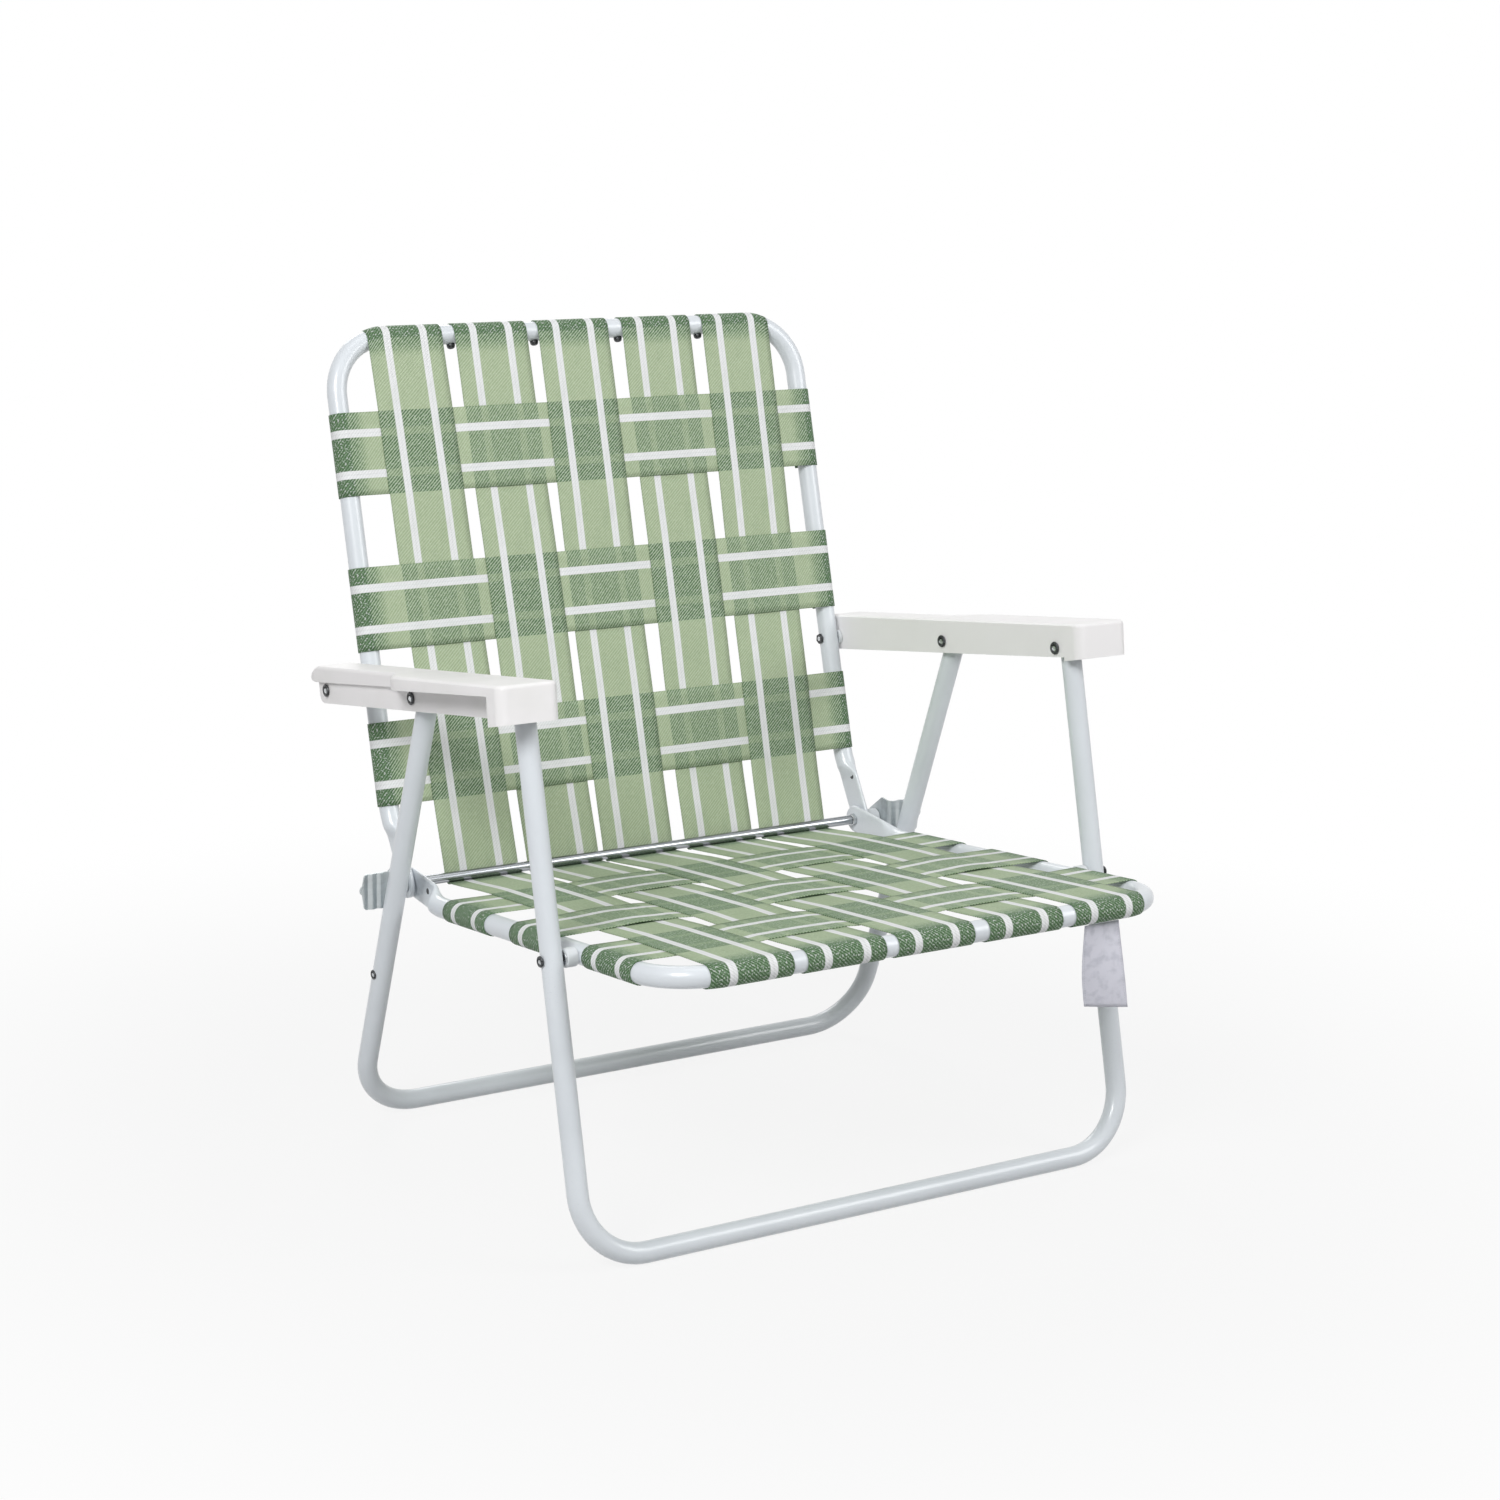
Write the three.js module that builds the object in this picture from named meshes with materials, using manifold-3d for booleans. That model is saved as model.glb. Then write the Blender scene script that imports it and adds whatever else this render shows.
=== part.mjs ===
// Folding webbed lawn chair: white bent-tube frames, moulded armrests and woven webbing straps.
// Millimetres, +Z up, the sitter faces -Y. Places along Y are counted from the centre of the front
// foot bar, and at the end the whole chair is moved so that its origin lies under the middle of its box.
import * as THREE from 'three';
import { mergeVertices } from 'three/addons/utils/BufferGeometryUtils.js';
import Module from 'manifold-3d';

const wasm = await Module();
wasm.setup();

// Stock
const TUBE_D = 19;
const TUBE_SIDES = 16;
const ROUND_SIDES = 12;
const QUARTER_STEPS = 8;
const CURVE_STEPS = 6;
const HEX_SIDES = 6;
const GAP = 0.3;
const WEBBING_WIDTH = 79;
const WEBBING_THICKNESS = 1;

// Legs, two U frames in the same pair of upright planes
const LEG_X = 291.8;
const LEG_BEND = 60;
const LEG_PAST_PIVOT = 13;
const LEG_BORE_D = 16.6;
const LEG_BORE_DEPTH = 34;
const FRONT_LEAN = 13.7;
const REAR_LEAN = 19;
const REAR_FOOT_Y = 435.5;

// Seat and back, two U frames hinged on a rod
const SEAT_X = 259.8;
const SEAT_TILT = 5.66;
const SEAT_FRONT_Y = -78.2;
const SEAT_FRONT_Z = 275.4;
const SEAT_BEND = 52;
const SEAT_REAR_BEND_BEFORE_HINGE = 66;
const BACK_X = 260.75;
const BACK_LEAN = 15.5;
const BACK_TOP_Y = 549.5;
const BACK_TOP_Z = 736.6;
const BACK_BEND = 55;
const BACK_LOW_BEND_BEFORE_HINGE = 70;
const HINGE_Y = 393;
const HINGE_Z = 242;
const END_BEND = 60;

// Pressed tube ends at the hinge
const PLATE_RADIUS = 14;
const PLATE_THICKNESS = 4;
const PLATE_FLAT_SHARE = 0.5;
const PRESS_FLAT_LENGTH = 42;
const PRESS_LENGTH = 60;
const PRESS_STEPS = 4;
const SEAT_PLATE_X = 254;
const PIVOT_DISC_STEP = 0.1;

// Hinge rod and what is threaded on it
const ROD_D = 9.5;
const STUD_D = 6;
const NUT_ACROSS_FLATS = 11;
const NUT_THICKNESS = 4.6;
const ROD_HEAD_D = 11;
const ROD_HEAD_THICKNESS = 3;
const BUSH_D = 17;

// Catch bracket, bent sheet that holds the rear leg in its wing
const SHEET_THICKNESS = 1.8;
const CATCH_CHEEK_X = 279.9;
const CATCH_BEND = 4;
const CATCH_WING_Y = -20.8;
const CATCH_WING_END_X = 316;
const CATCH_LOW_Z = -14;
const CATCH_HIGH_Z = 20;
const CATCH_EYE_RADIUS = 13;
const CATCH_EYE_TOP_ANGLE = 30;
const CATCH_APEX_Y = -9;
const CATCH_APEX_RISE = 2;
const CATCH_CORNER = 4;
const CATCH_BUMP_RADIUS = 5;
const CATCH_BUMP_Z = 5;
const CATCH_BUMP_INSET = 1;
const CATCH_BUMP_ANGLE = 60;
const FLUTE_COUNT = 3;
const FLUTE_PITCH = 9;
const FLUTE_DEPTH = 2;
const FLUTE_BEND = 2.5;

// Pivots, by their height on the tube that carries them
const ARM_BACK_Z = 419;
const ARM_REAR_Z = 445;
const ARM_FRONT_Z = 468.5;
const BOLT_D = 6;
const BOLT_HEAD_D = 12;
const BOLT_HEAD_THICKNESS = 2.3;
const BOLT_PAST_NUT = 0.8;
const WASHER_THICKNESS = 1;
const WASHER_D = 14;
const LINK_SLACK = 4.2;
const LINK_HOLE_DEPTH = 7;

// Armrests, mouldings open below
const ARM_INNER_X = 274.5;
const ARM_CHANNEL_OUTER_X = 309;
const ARM_NARROW_X = 313;
const ARM_WIDE_X = 333;
const ARM_WALL = 3;
const ARM_BOTTOM_REAR = -12.5;
const ARM_BOTTOM_FRONT = -8.5;
const ARM_TOP = 23;
const ARM_LIP_REAR = 7.5;
const ARM_LIP_FRONT = 14;
const ARM_EDGE_ROUND = 4;
const ARM_TIP_PAST_PIVOT = 29;
const ARM_FLANGE_PAST_PIVOT = 17;
const ARM_FLANGE_ROUND = 11;
const ARM_FRONT_PAST_PIVOT = 34;
const ARM_JOG_START = 140;
const ARM_JOG_END = 197;
const ARM_CORNER = 9;
const ARM_SKIRT_LENGTH = 22;
const ARM_SKIRT_FRONT = -9.5;
const ARM_SKIRT_REAR = -12;
const ARM_TIP_ROUND = 11;
const ARM_NOSE_LENGTH = 36;
const ARM_NOSE_UNDER = 14;
const ARM_NOSE_Z = 13;
const ARM_EDGE_STEPS = 3;

// Webbing
const LONG_AT_BAR = [-187, -94, -2, 93.5, 187.5];
const LONG_AT_ROD = [-177.5, -88, -3, 91, 179.5];
const SEAT_CROSS_BEFORE_LINK = 51.7;
const SEAT_CROSS_PAST_LINK = 75.4;
const SEAT_CROSS_BEFORE_BEND = 63.4;
const BACK_CROSS_ABOVE_MIDDLE = 17.6;
const BACK_CROSS_ABOVE_ARM = 71.5;
const BACK_CROSS_BELOW_ARM = 75.2;
const WEAVE_RISE = 0.75;
const STRAP_TAIL = 8;
const STRAP_END_AT_ROD = 4;

// Blank fabric tag under the front bar
const TAG_X = 184;
const TAG_WIDTH = 43;
const TAG_LENGTH = 75;
const TAG_THICKNESS = 0.8;
const TAG_BOW = 2.5;
const TAG_BOW_RADIUS = 150;

// Colours and surfaces
const LOOKS = {
  coat: { color: 0xdde4ea, roughness: 0.38, metalness: 0.05 },
  plastic: { color: 0xe8e6e4, roughness: 0.45, metalness: 0 },
  nylon: { color: 0xf0f0ee, roughness: 0.5, metalness: 0 },
  zinc: { color: 0x9aa0a4, roughness: 0.35, metalness: 0.9 },
  galvanised: { color: 0xa9b0b2, roughness: 0.42, metalness: 0.85 },
  darkSteel: { color: 0x3c4044, roughness: 0.5, metalness: 0.7 },
  webbing: { color: 0x9db58a, roughness: 0.75, metalness: 0 },
  cloth: { color: 0xececf2, roughness: 0.85, metalness: 0 },
};

const { degToRad, lerp, smoothstep, clamp } = THREE.MathUtils;
const TUBE_R = TUBE_D / 2;
const FACET = 2 * Math.PI / TUBE_SIDES;
const TUBE_CORNER_R = TUBE_R / Math.cos(FACET / 2);
const STRAP_LIFT = TUBE_R + GAP + WEBBING_THICKNESS / 2;
const WRAP_R = STRAP_LIFT / Math.cos(FACET / 2);
const BOLT_HOLE_D = BOLT_D + 2 * GAP;
const STUD_HOLE_D = STUD_D + 2 * GAP;
const FAR = 1000;

const point = (x, y, z) => new THREE.Vector3(x, y, z);
const corner = (at, bend = 0) => ({ at, bend });
const countTo = (count) => Array.from({ length: count }, (_, i) => i);

// Merges the corners of a closed mesh, drops empty triangles and turns its faces outwards
function weld(geometry) {
  const bare = geometry.clone();
  bare.deleteAttribute('normal');
  bare.deleteAttribute('uv');
  const merged = mergeVertices(bare);
  const corners = countTo(merged.attributes.position.count)
    .map((i) => new THREE.Vector3().fromBufferAttribute(merged.attributes.position, i));
  const triangles = [];
  let volume = 0;
  for (let i = 0; i < merged.index.count; i += 3) {
    const [a, b, c] = [0, 1, 2].map((k) => merged.index.getX(i + k));
    if (a === b || b === c || c === a) continue;
    triangles.push([a, b, c]);
    volume += corners[a].dot(corners[b].clone().cross(corners[c]));
  }
  merged.setIndex(triangles.flatMap(([a, b, c]) => (volume < 0 ? [a, c, b] : [a, b, c])));
  merged.computeVertexNormals();
  return merged;
}

function solid(geometry) {
  const welded = weld(geometry);
  return new wasm.Manifold(new wasm.Mesh({
    numProp: 3,
    vertProperties: Float32Array.from(welded.attributes.position.array),
    triVerts: Uint32Array.from(welded.index.array),
  }));
}

function geometryOf(manifold) {
  const { vertProperties, triVerts } = manifold.getMesh();
  const geometry = new THREE.BufferGeometry();
  geometry.setAttribute('position', new THREE.BufferAttribute(vertProperties, 3));
  geometry.setIndex(new THREE.BufferAttribute(triVerts, 1));
  return geometry;
}

function join(first, ...others) {
  return geometryOf(others.reduce((sum, other) => sum.add(solid(other)), solid(first)));
}

function cut(first, ...tools) {
  return geometryOf(tools.reduce((rest, tool) => rest.subtract(solid(tool)), solid(first)));
}

const common = (first, second) => geometryOf(solid(first).intersect(solid(second)));
const mirrored = (geometry) => geometry.clone().scale(-1, 1, 1);

// A path of straight runs. A corner with a bend radius becomes an arc, one without becomes a mitre.
// The section's first axis starts along the given direction and is carried along without twist.
class BentPath extends THREE.Curve {
  constructor(corners, across) {
    super();
    this.stations = [];
    corners.forEach((current, i) => {
      const before = corners[i - 1];
      const after = corners[i + 1];
      const arriving = before ? current.at.clone().sub(before.at).normalize() : null;
      const leaving = after ? after.at.clone().sub(current.at).normalize() : null;
      if (arriving && leaving && current.bend) this.addArc(current, arriving, leaving);
      else this.addMitre(current.at, arriving ?? leaving, leaving ?? arriving);
    });
    this.frames = this.carry(across);
  }

  addMitre(at, arriving, leaving) {
    this.stations.push({ at, tangent: arriving.clone().add(leaving).normalize() });
  }

  addArc({ at, bend }, arriving, leaving) {
    const turn = arriving.angleTo(leaving);
    const inward = leaving.clone().addScaledVector(arriving, -arriving.dot(leaving)).normalize();
    const start = at.clone().addScaledVector(arriving, -bend * Math.tan(turn / 2));
    const steps = Math.max(2, Math.ceil(QUARTER_STEPS * turn / (Math.PI / 2)));
    countTo(steps + 1).forEach((i) => {
      const angle = turn * i / steps;
      const [cos, sin] = [Math.cos(angle), Math.sin(angle)];
      this.stations.push({
        at: start.clone().addScaledVector(arriving, bend * sin).addScaledVector(inward, bend * (1 - cos)),
        tangent: arriving.clone().multiplyScalar(cos).addScaledVector(inward, sin),
      });
    });
  }

  carry(across) {
    const tangents = this.stations.map((station) => station.tangent);
    const normals = [across.clone().projectOnPlane(tangents[0]).normalize()];
    for (let i = 1; i < tangents.length; i += 1) {
      const turn = new THREE.Quaternion().setFromUnitVectors(tangents[i - 1], tangents[i]);
      normals.push(normals[i - 1].clone().applyQuaternion(turn));
    }
    const binormals = normals.map((normal, i) => tangents[i].clone().cross(normal));
    return { tangents, normals, binormals };
  }

  get steps() {
    return this.stations.length - 1;
  }

  getPointAt(u, target = new THREE.Vector3()) {
    return target.copy(this.stations[Math.round(u * this.steps)].at);
  }

  computeFrenetFrames() {
    return this.frames;
  }
}

function sweep(path, section) {
  return new THREE.ExtrudeGeometry(section, { extrudePath: path, steps: path.steps });
}

function tubeSection(turn = 0) {
  const corners = countTo(TUBE_SIDES).map((i) => {
    const angle = turn + (i + 0.5) * FACET;
    return new THREE.Vector2(Math.cos(angle), Math.sin(angle)).multiplyScalar(TUBE_CORNER_R);
  });
  return new THREE.Shape(corners);
}

function flatSection(width, thickness) {
  const [w, t] = [width / 2, thickness / 2];
  return new THREE.Shape([[-w, -t], [w, -t], [w, t], [-w, t]].map(([x, y]) => new THREE.Vector2(x, y)));
}

// Round bar along X
function bar(diameter, fromX, toX, y, z) {
  const radius = diameter / 2;
  const geometry = new THREE.CylinderGeometry(radius, radius, Math.abs(toX - fromX), ROUND_SIDES);
  return geometry.rotateZ(-Math.PI / 2).translate((fromX + toX) / 2, y, z);
}

// Solid of revolution about a line along X, from a list of [radius, x]
function turned(profile, y, z) {
  const points = profile.map(([radius, x]) => new THREE.Vector2(radius, x));
  return new THREE.LatheGeometry(points, ROUND_SIDES).rotateZ(-Math.PI / 2).translate(0, y, z);
}

function ring(outerD, boreD, fromX, toX, y, z) {
  const [outer, bore] = [outerD / 2, boreD / 2];
  return turned([[bore, fromX], [outer, fromX], [outer, toX], [bore, toX], [bore, fromX]], y, z);
}

// Prism along X of a shape drawn in Y and Z
function prismX(shape, fromX, toX) {
  const settings = { depth: toX - fromX, bevelEnabled: false, curveSegments: CURVE_STEPS };
  const geometry = new THREE.ExtrudeGeometry(shape, settings);
  const basis = new THREE.Matrix4().makeBasis(point(0, 1, 0), point(0, 0, 1), point(1, 0, 0));
  return geometry.applyMatrix4(basis).translate(fromX, 0, 0);
}

function hexNut(fromX, y, z) {
  const radius = NUT_ACROSS_FLATS / 2 / Math.cos(Math.PI / HEX_SIDES);
  const shape = new THREE.Shape(countTo(HEX_SIDES).map((i) => {
    const angle = 2 * Math.PI * i / HEX_SIDES;
    return new THREE.Vector2(Math.cos(angle), Math.sin(angle)).multiplyScalar(radius);
  }));
  shape.holes.push(new THREE.Path().absarc(0, 0, BOLT_HOLE_D / 2, 0, 2 * Math.PI));
  return prismX(shape, fromX, fromX + NUT_THICKNESS).translate(0, y, z);
}

// Bolt along X with a flat round head at its outer end
function headedBolt(endX, headX, y, z) {
  const [shank, head] = [BOLT_D / 2, BOLT_HEAD_D / 2];
  const headEndX = headX + BOLT_HEAD_THICKNESS;
  return turned([
    [0, endX],
    [shank, endX],
    [shank, headX],
    [head, headX],
    [head, headEndX],
    [0, headEndX],
  ], y, z);
}

const chair = new THREE.Group();

function add(parent, name, geometry, look) {
  const mesh = new THREE.Mesh(weld(geometry), new THREE.MeshStandardMaterial(LOOKS[look]));
  mesh.name = name;
  parent.add(mesh);
}

// Left and right are as seen by someone facing the chair. The given shape is the right one.
function addPair(parent, name, geometry, look) {
  add(parent, `${name}_right`, geometry, look);
  add(parent, `${name}_left`, mirrored(geometry), look);
}

function placed(y, z, turn) {
  const group = new THREE.Group();
  group.position.set(0, y, z);
  group.rotation.x = turn;
  group.updateMatrixWorld();
  chair.add(group);
  return group;
}

// Local frames. A leg frame stands on its foot bar with Z up the legs. The seat and the back lie in
// X and Y from their end bar, with Y towards the hinge.
const frontLegs = placed(0, TUBE_R, -degToRad(FRONT_LEAN));
const rearLegs = placed(REAR_FOOT_Y, TUBE_R, degToRad(REAR_LEAN));
const seat = placed(SEAT_FRONT_Y, SEAT_FRONT_Z, -degToRad(SEAT_TILT));
const back = placed(BACK_TOP_Y, BACK_TOP_Z, -Math.PI / 2 - degToRad(BACK_LEAN));
const hinge = placed(HINGE_Y, HINGE_Z, 0);

// Pivots in the local frame of the tube that carries them, and in the chair's frame
const frontArmUp = (ARM_FRONT_Z - TUBE_R) / Math.cos(degToRad(FRONT_LEAN));
const rearArmUp = (ARM_REAR_Z - TUBE_R) / Math.cos(degToRad(REAR_LEAN));
const backArmDown = (BACK_TOP_Z - ARM_BACK_Z) / Math.cos(degToRad(BACK_LEAN));
const armFront = frontLegs.localToWorld(point(0, 0, frontArmUp));
const armRear = rearLegs.localToWorld(point(0, 0, rearArmUp));
const armBack = back.localToWorld(point(0, backArmDown, 0));
const armTilt = Math.atan2(armFront.z - armBack.z, armBack.y - armFront.y);
const arms = placed(armBack.y, armBack.z, -armTilt);

// The seat turns on the front legs where the leg's centre line crosses the seat's
function seatPivotUp() {
  const foot = seat.worldToLocal(frontLegs.position.clone());
  const top = seat.worldToLocal(armFront.clone());
  return frontArmUp * foot.z / (foot.z - top.z);
}

const linkUp = seatPivotUp();
const linkOnSeat = seat.worldToLocal(frontLegs.localToWorld(point(0, 0, linkUp)));

// A leg frame with open tube ends, drilled across for its pivots
function legFrame(turn, armUp, holesUp) {
  const top = armUp + LEG_PAST_PIVOT;
  const path = new BentPath([
    corner(point(LEG_X, 0, top)),
    corner(point(LEG_X, 0, 0), LEG_BEND),
    corner(point(-LEG_X, 0, 0), LEG_BEND),
    corner(point(-LEG_X, 0, top)),
  ], point(1, 0, 0));
  const boreR = LEG_BORE_D / 2;
  const cuts = [LEG_X, -LEG_X].flatMap((x) => {
    const bore = new THREE.CylinderGeometry(boreR, boreR, 2 * LEG_BORE_DEPTH, TUBE_SIDES);
    const holes = holesUp.map((up) => bar(BOLT_HOLE_D, x - TUBE_D, x + TUBE_D, 0, up));
    return [bore.rotateX(Math.PI / 2).translate(x, 0, top), ...holes];
  });
  return cut(sweep(path, tubeSection(turn)), ...cuts);
}

// Squeezes one tube end flat against the plane x = plateX, with a smooth change back to round
function pressEnd(geometry, tip, inward, plateX) {
  const position = geometry.attributes.position;
  const lateral = point(1, 0, 0).cross(inward);
  const vertex = new THREE.Vector3();
  for (let i = 0; i < position.count; i += 1) {
    vertex.fromBufferAttribute(position, i);
    const fromTip = vertex.clone().sub(tip);
    const depth = fromTip.dot(inward);
    if (Math.abs(fromTip.x) > TUBE_D || depth > PRESS_LENGTH) continue;
    const squeeze = 1 - smoothstep(depth, PRESS_FLAT_LENGTH, PRESS_LENGTH);
    const layer = clamp(fromTip.x / (TUBE_R * PLATE_FLAT_SHARE), -1, 1) * PLATE_THICKNESS / 2;
    vertex.x = lerp(vertex.x, plateX + layer, squeeze);
    vertex.addScaledVector(lateral, fromTip.dot(lateral) * squeeze * (PLATE_RADIUS / TUBE_R - 1));
    position.setXYZ(i, vertex.x, vertex.y, vertex.z);
  }
}

// A U frame from hinge end to hinge end. Its sides leave the flat of the frame near the hinge, and
// their ends are pressed into round-ended plates with the hinge hole.
function hingedFrame(frame, halfWidth, bend, bendBeforeHinge, plateX) {
  const tip = frame.worldToLocal(hinge.position.clone());
  const knee = point(0, tip.y - bendBeforeHinge, 0);
  const inward = knee.clone().sub(tip).normalize();
  const depths = countTo(PRESS_STEPS + 1).map((i) => {
    return lerp(PRESS_FLAT_LENGTH, PRESS_LENGTH, i / PRESS_STEPS);
  });
  const pressed = [PLATE_RADIUS, ...depths].map((depth) => {
    return corner(tip.clone().addScaledVector(inward, depth));
  });
  const half = [corner(tip), ...pressed, corner(knee, END_BEND), corner(point(0, 0, 0), bend)];
  const onSide = (side) => half.map(({ at, bend: radius }) => {
    return corner(at.clone().setX(side * halfWidth), radius);
  });
  const path = new BentPath([...onSide(1), ...onSide(-1).reverse()], point(1, 0, 0));
  const tube = sweep(path, tubeSection());
  const discHalf = PLATE_THICKNESS / 2 - PIVOT_DISC_STEP;
  const discs = [1, -1].map((side) => {
    pressEnd(tube, tip.clone().setX(side * halfWidth), inward, side * plateX);
    const disc = new THREE.CylinderGeometry(PLATE_RADIUS, PLATE_RADIUS, 2 * discHalf, 2 * ROUND_SIDES);
    return disc.rotateZ(Math.PI / 2).translate(side * plateX, tip.y, tip.z);
  });
  return cut(join(tube, ...discs), bar(STUD_HOLE_D, -FAR, FAR, tip.y, tip.z));
}

function addLegs() {
  const front = legFrame(-degToRad(FRONT_LEAN), frontArmUp, [frontArmUp, linkUp]);
  add(frontLegs, 'front_leg_frame', front, 'coat');
  const rear = legFrame(degToRad(REAR_LEAN), rearArmUp, [rearArmUp]);
  add(rearLegs, 'rear_leg_frame', rear, 'coat');
}

// The seat's link hole is wide enough for the small sideways run of the bolt while the chair folds
function addSeatAndBackFrames() {
  const seatTube = hingedFrame(seat, SEAT_X, SEAT_BEND, SEAT_REAR_BEND_BEFORE_HINGE, SEAT_PLATE_X);
  const linkHoleD = BOLT_D + 2 * LINK_SLACK;
  const holeFloor = SEAT_X + TUBE_R - LINK_HOLE_DEPTH;
  const linkHole = bar(linkHoleD, holeFloor, SEAT_X + TUBE_D, linkOnSeat.y, linkOnSeat.z);
  add(seat, 'seat_frame', cut(seatTube, linkHole, mirrored(linkHole)), 'coat');
  const backTube = hingedFrame(back, BACK_X, BACK_BEND, BACK_LOW_BEND_BEFORE_HINGE, BACK_X);
  add(back, 'back_frame', cut(backTube, bar(BOLT_HOLE_D, -FAR, FAR, backArmDown, 0)), 'coat');
}

// Catch bracket: a sheet bent from the cheek on the rod into a fluted wing behind the rear leg
function catchBracket() {
  const flutes = countTo(2 * FLUTE_COUNT + 1).map((i) => {
    const x = CATCH_CHEEK_X + FLUTE_PITCH + i * FLUTE_PITCH / 2;
    return corner(point(x, CATCH_WING_Y + FLUTE_DEPTH * (i % 2), 0), FLUTE_BEND);
  });
  const path = new BentPath([
    corner(point(CATCH_CHEEK_X, CATCH_EYE_RADIUS, 0)),
    corner(point(CATCH_CHEEK_X, CATCH_WING_Y, 0), CATCH_BEND),
    ...flutes,
    corner(point(CATCH_WING_END_X + CATCH_BUMP_RADIUS, CATCH_WING_Y, 0)),
  ], point(0, 0, 1));
  const sheet = sweep(path, flatSection(FAR, SHEET_THICKNESS));
  const quarter = Math.PI / 2;
  const cheek = new THREE.Shape();
  cheek.moveTo(CATCH_WING_Y - SHEET_THICKNESS, CATCH_LOW_Z);
  cheek.lineTo(0, -CATCH_EYE_RADIUS);
  cheek.absarc(0, 0, CATCH_EYE_RADIUS, -quarter, degToRad(CATCH_EYE_TOP_ANGLE));
  cheek.lineTo(CATCH_APEX_Y, CATCH_HIGH_Z + CATCH_APEX_RISE);
  cheek.lineTo(CATCH_WING_Y - SHEET_THICKNESS, CATCH_HIGH_Z);
  const cheekFromX = CATCH_CHEEK_X - CATCH_BEND;
  const cheekToX = CATCH_CHEEK_X + CATCH_BEND;
  const cornerX = CATCH_WING_END_X - CATCH_CORNER;
  const bumpTurn = degToRad(CATCH_BUMP_ANGLE);
  const wing = new THREE.Shape();
  wing.moveTo(cheekFromX, CATCH_LOW_Z);
  wing.lineTo(cornerX, CATCH_LOW_Z);
  wing.absarc(cornerX, CATCH_LOW_Z + CATCH_CORNER, CATCH_CORNER, -quarter, 0);
  wing.absarc(CATCH_WING_END_X - CATCH_BUMP_INSET, CATCH_BUMP_Z, CATCH_BUMP_RADIUS, -bumpTurn, bumpTurn);
  wing.absarc(cornerX, CATCH_HIGH_Z - CATCH_CORNER, CATCH_CORNER, 0, quarter);
  wing.lineTo(cheekFromX, CATCH_HIGH_Z);
  const wingDepth = 2 * (FLUTE_DEPTH + CATCH_BEND);
  const wingPrism = upright(wing, 0, wingDepth).rotateX(quarter);
  wingPrism.translate(0, CATCH_WING_Y + wingDepth / 2 + FLUTE_DEPTH, 0);
  const outline = join(prismX(cheek, cheekFromX, cheekToX), wingPrism);
  return cut(common(sheet, outline), bar(STUD_HOLE_D, cheekFromX, cheekToX, 0, 0));
}

// Everything threaded on the hinge rod, from the middle outwards
function addHinge() {
  const half = PLATE_THICKNESS / 2;
  const nutX = SEAT_PLATE_X - half - GAP - NUT_THICKNESS;
  const shoulderX = nutX - GAP;
  const headX = CATCH_CHEEK_X + SHEET_THICKNESS / 2 + GAP;
  const endX = headX + ROD_HEAD_THICKNESS;
  const [rodR, studR, headR] = [ROD_D / 2, STUD_D / 2, ROD_HEAD_D / 2];
  const outerHalf = [
    [rodR, shoulderX],
    [studR, shoulderX],
    [studR, headX],
    [headR, headX],
    [headR, endX],
    [0, endX],
  ];
  const innerHalf = outerHalf.map(([radius, x]) => [radius, -x]).reverse();
  add(hinge, 'hinge_rod', turned([...innerHalf, ...outerHalf], 0, 0), 'galvanised');
  addPair(hinge, 'hinge_nut', hexNut(nutX, 0, 0), 'zinc');
  const washer = ring(WASHER_D, STUD_HOLE_D, SEAT_PLATE_X + half + GAP, BACK_X - half - GAP, 0, 0);
  addPair(hinge, 'hinge_washer', washer, 'nylon');
  const spacerEndX = CATCH_CHEEK_X - SHEET_THICKNESS / 2 - GAP;
  const spacer = ring(BUSH_D, STUD_HOLE_D, BACK_X + half + GAP, spacerEndX, 0, 0);
  addPair(hinge, 'hinge_spacer', spacer, 'nylon');
  addPair(hinge, 'catch_bracket', catchBracket(), 'galvanised');
}

// Bolt, washer and bush that carry the seat on the front legs
function addSeatLinks() {
  const legInnerX = LEG_X - TUBE_CORNER_R;
  const headX = LEG_X + TUBE_CORNER_R + GAP;
  const endX = SEAT_X + TUBE_R - LINK_HOLE_DEPTH + GAP;
  addPair(frontLegs, 'seat_link_bolt', headedBolt(endX, headX, 0, linkUp), 'zinc');
  const washerX = legInnerX - GAP - WASHER_THICKNESS;
  const washer = ring(WASHER_D, BOLT_HOLE_D, washerX, legInnerX - GAP, 0, linkUp);
  addPair(frontLegs, 'seat_link_washer', washer, 'darkSteel');
  const bush = ring(BUSH_D, BOLT_HOLE_D, SEAT_X + TUBE_R + GAP, washerX - GAP, 0, linkUp);
  addPair(frontLegs, 'seat_link_bush', bush, 'nylon');
}

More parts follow.
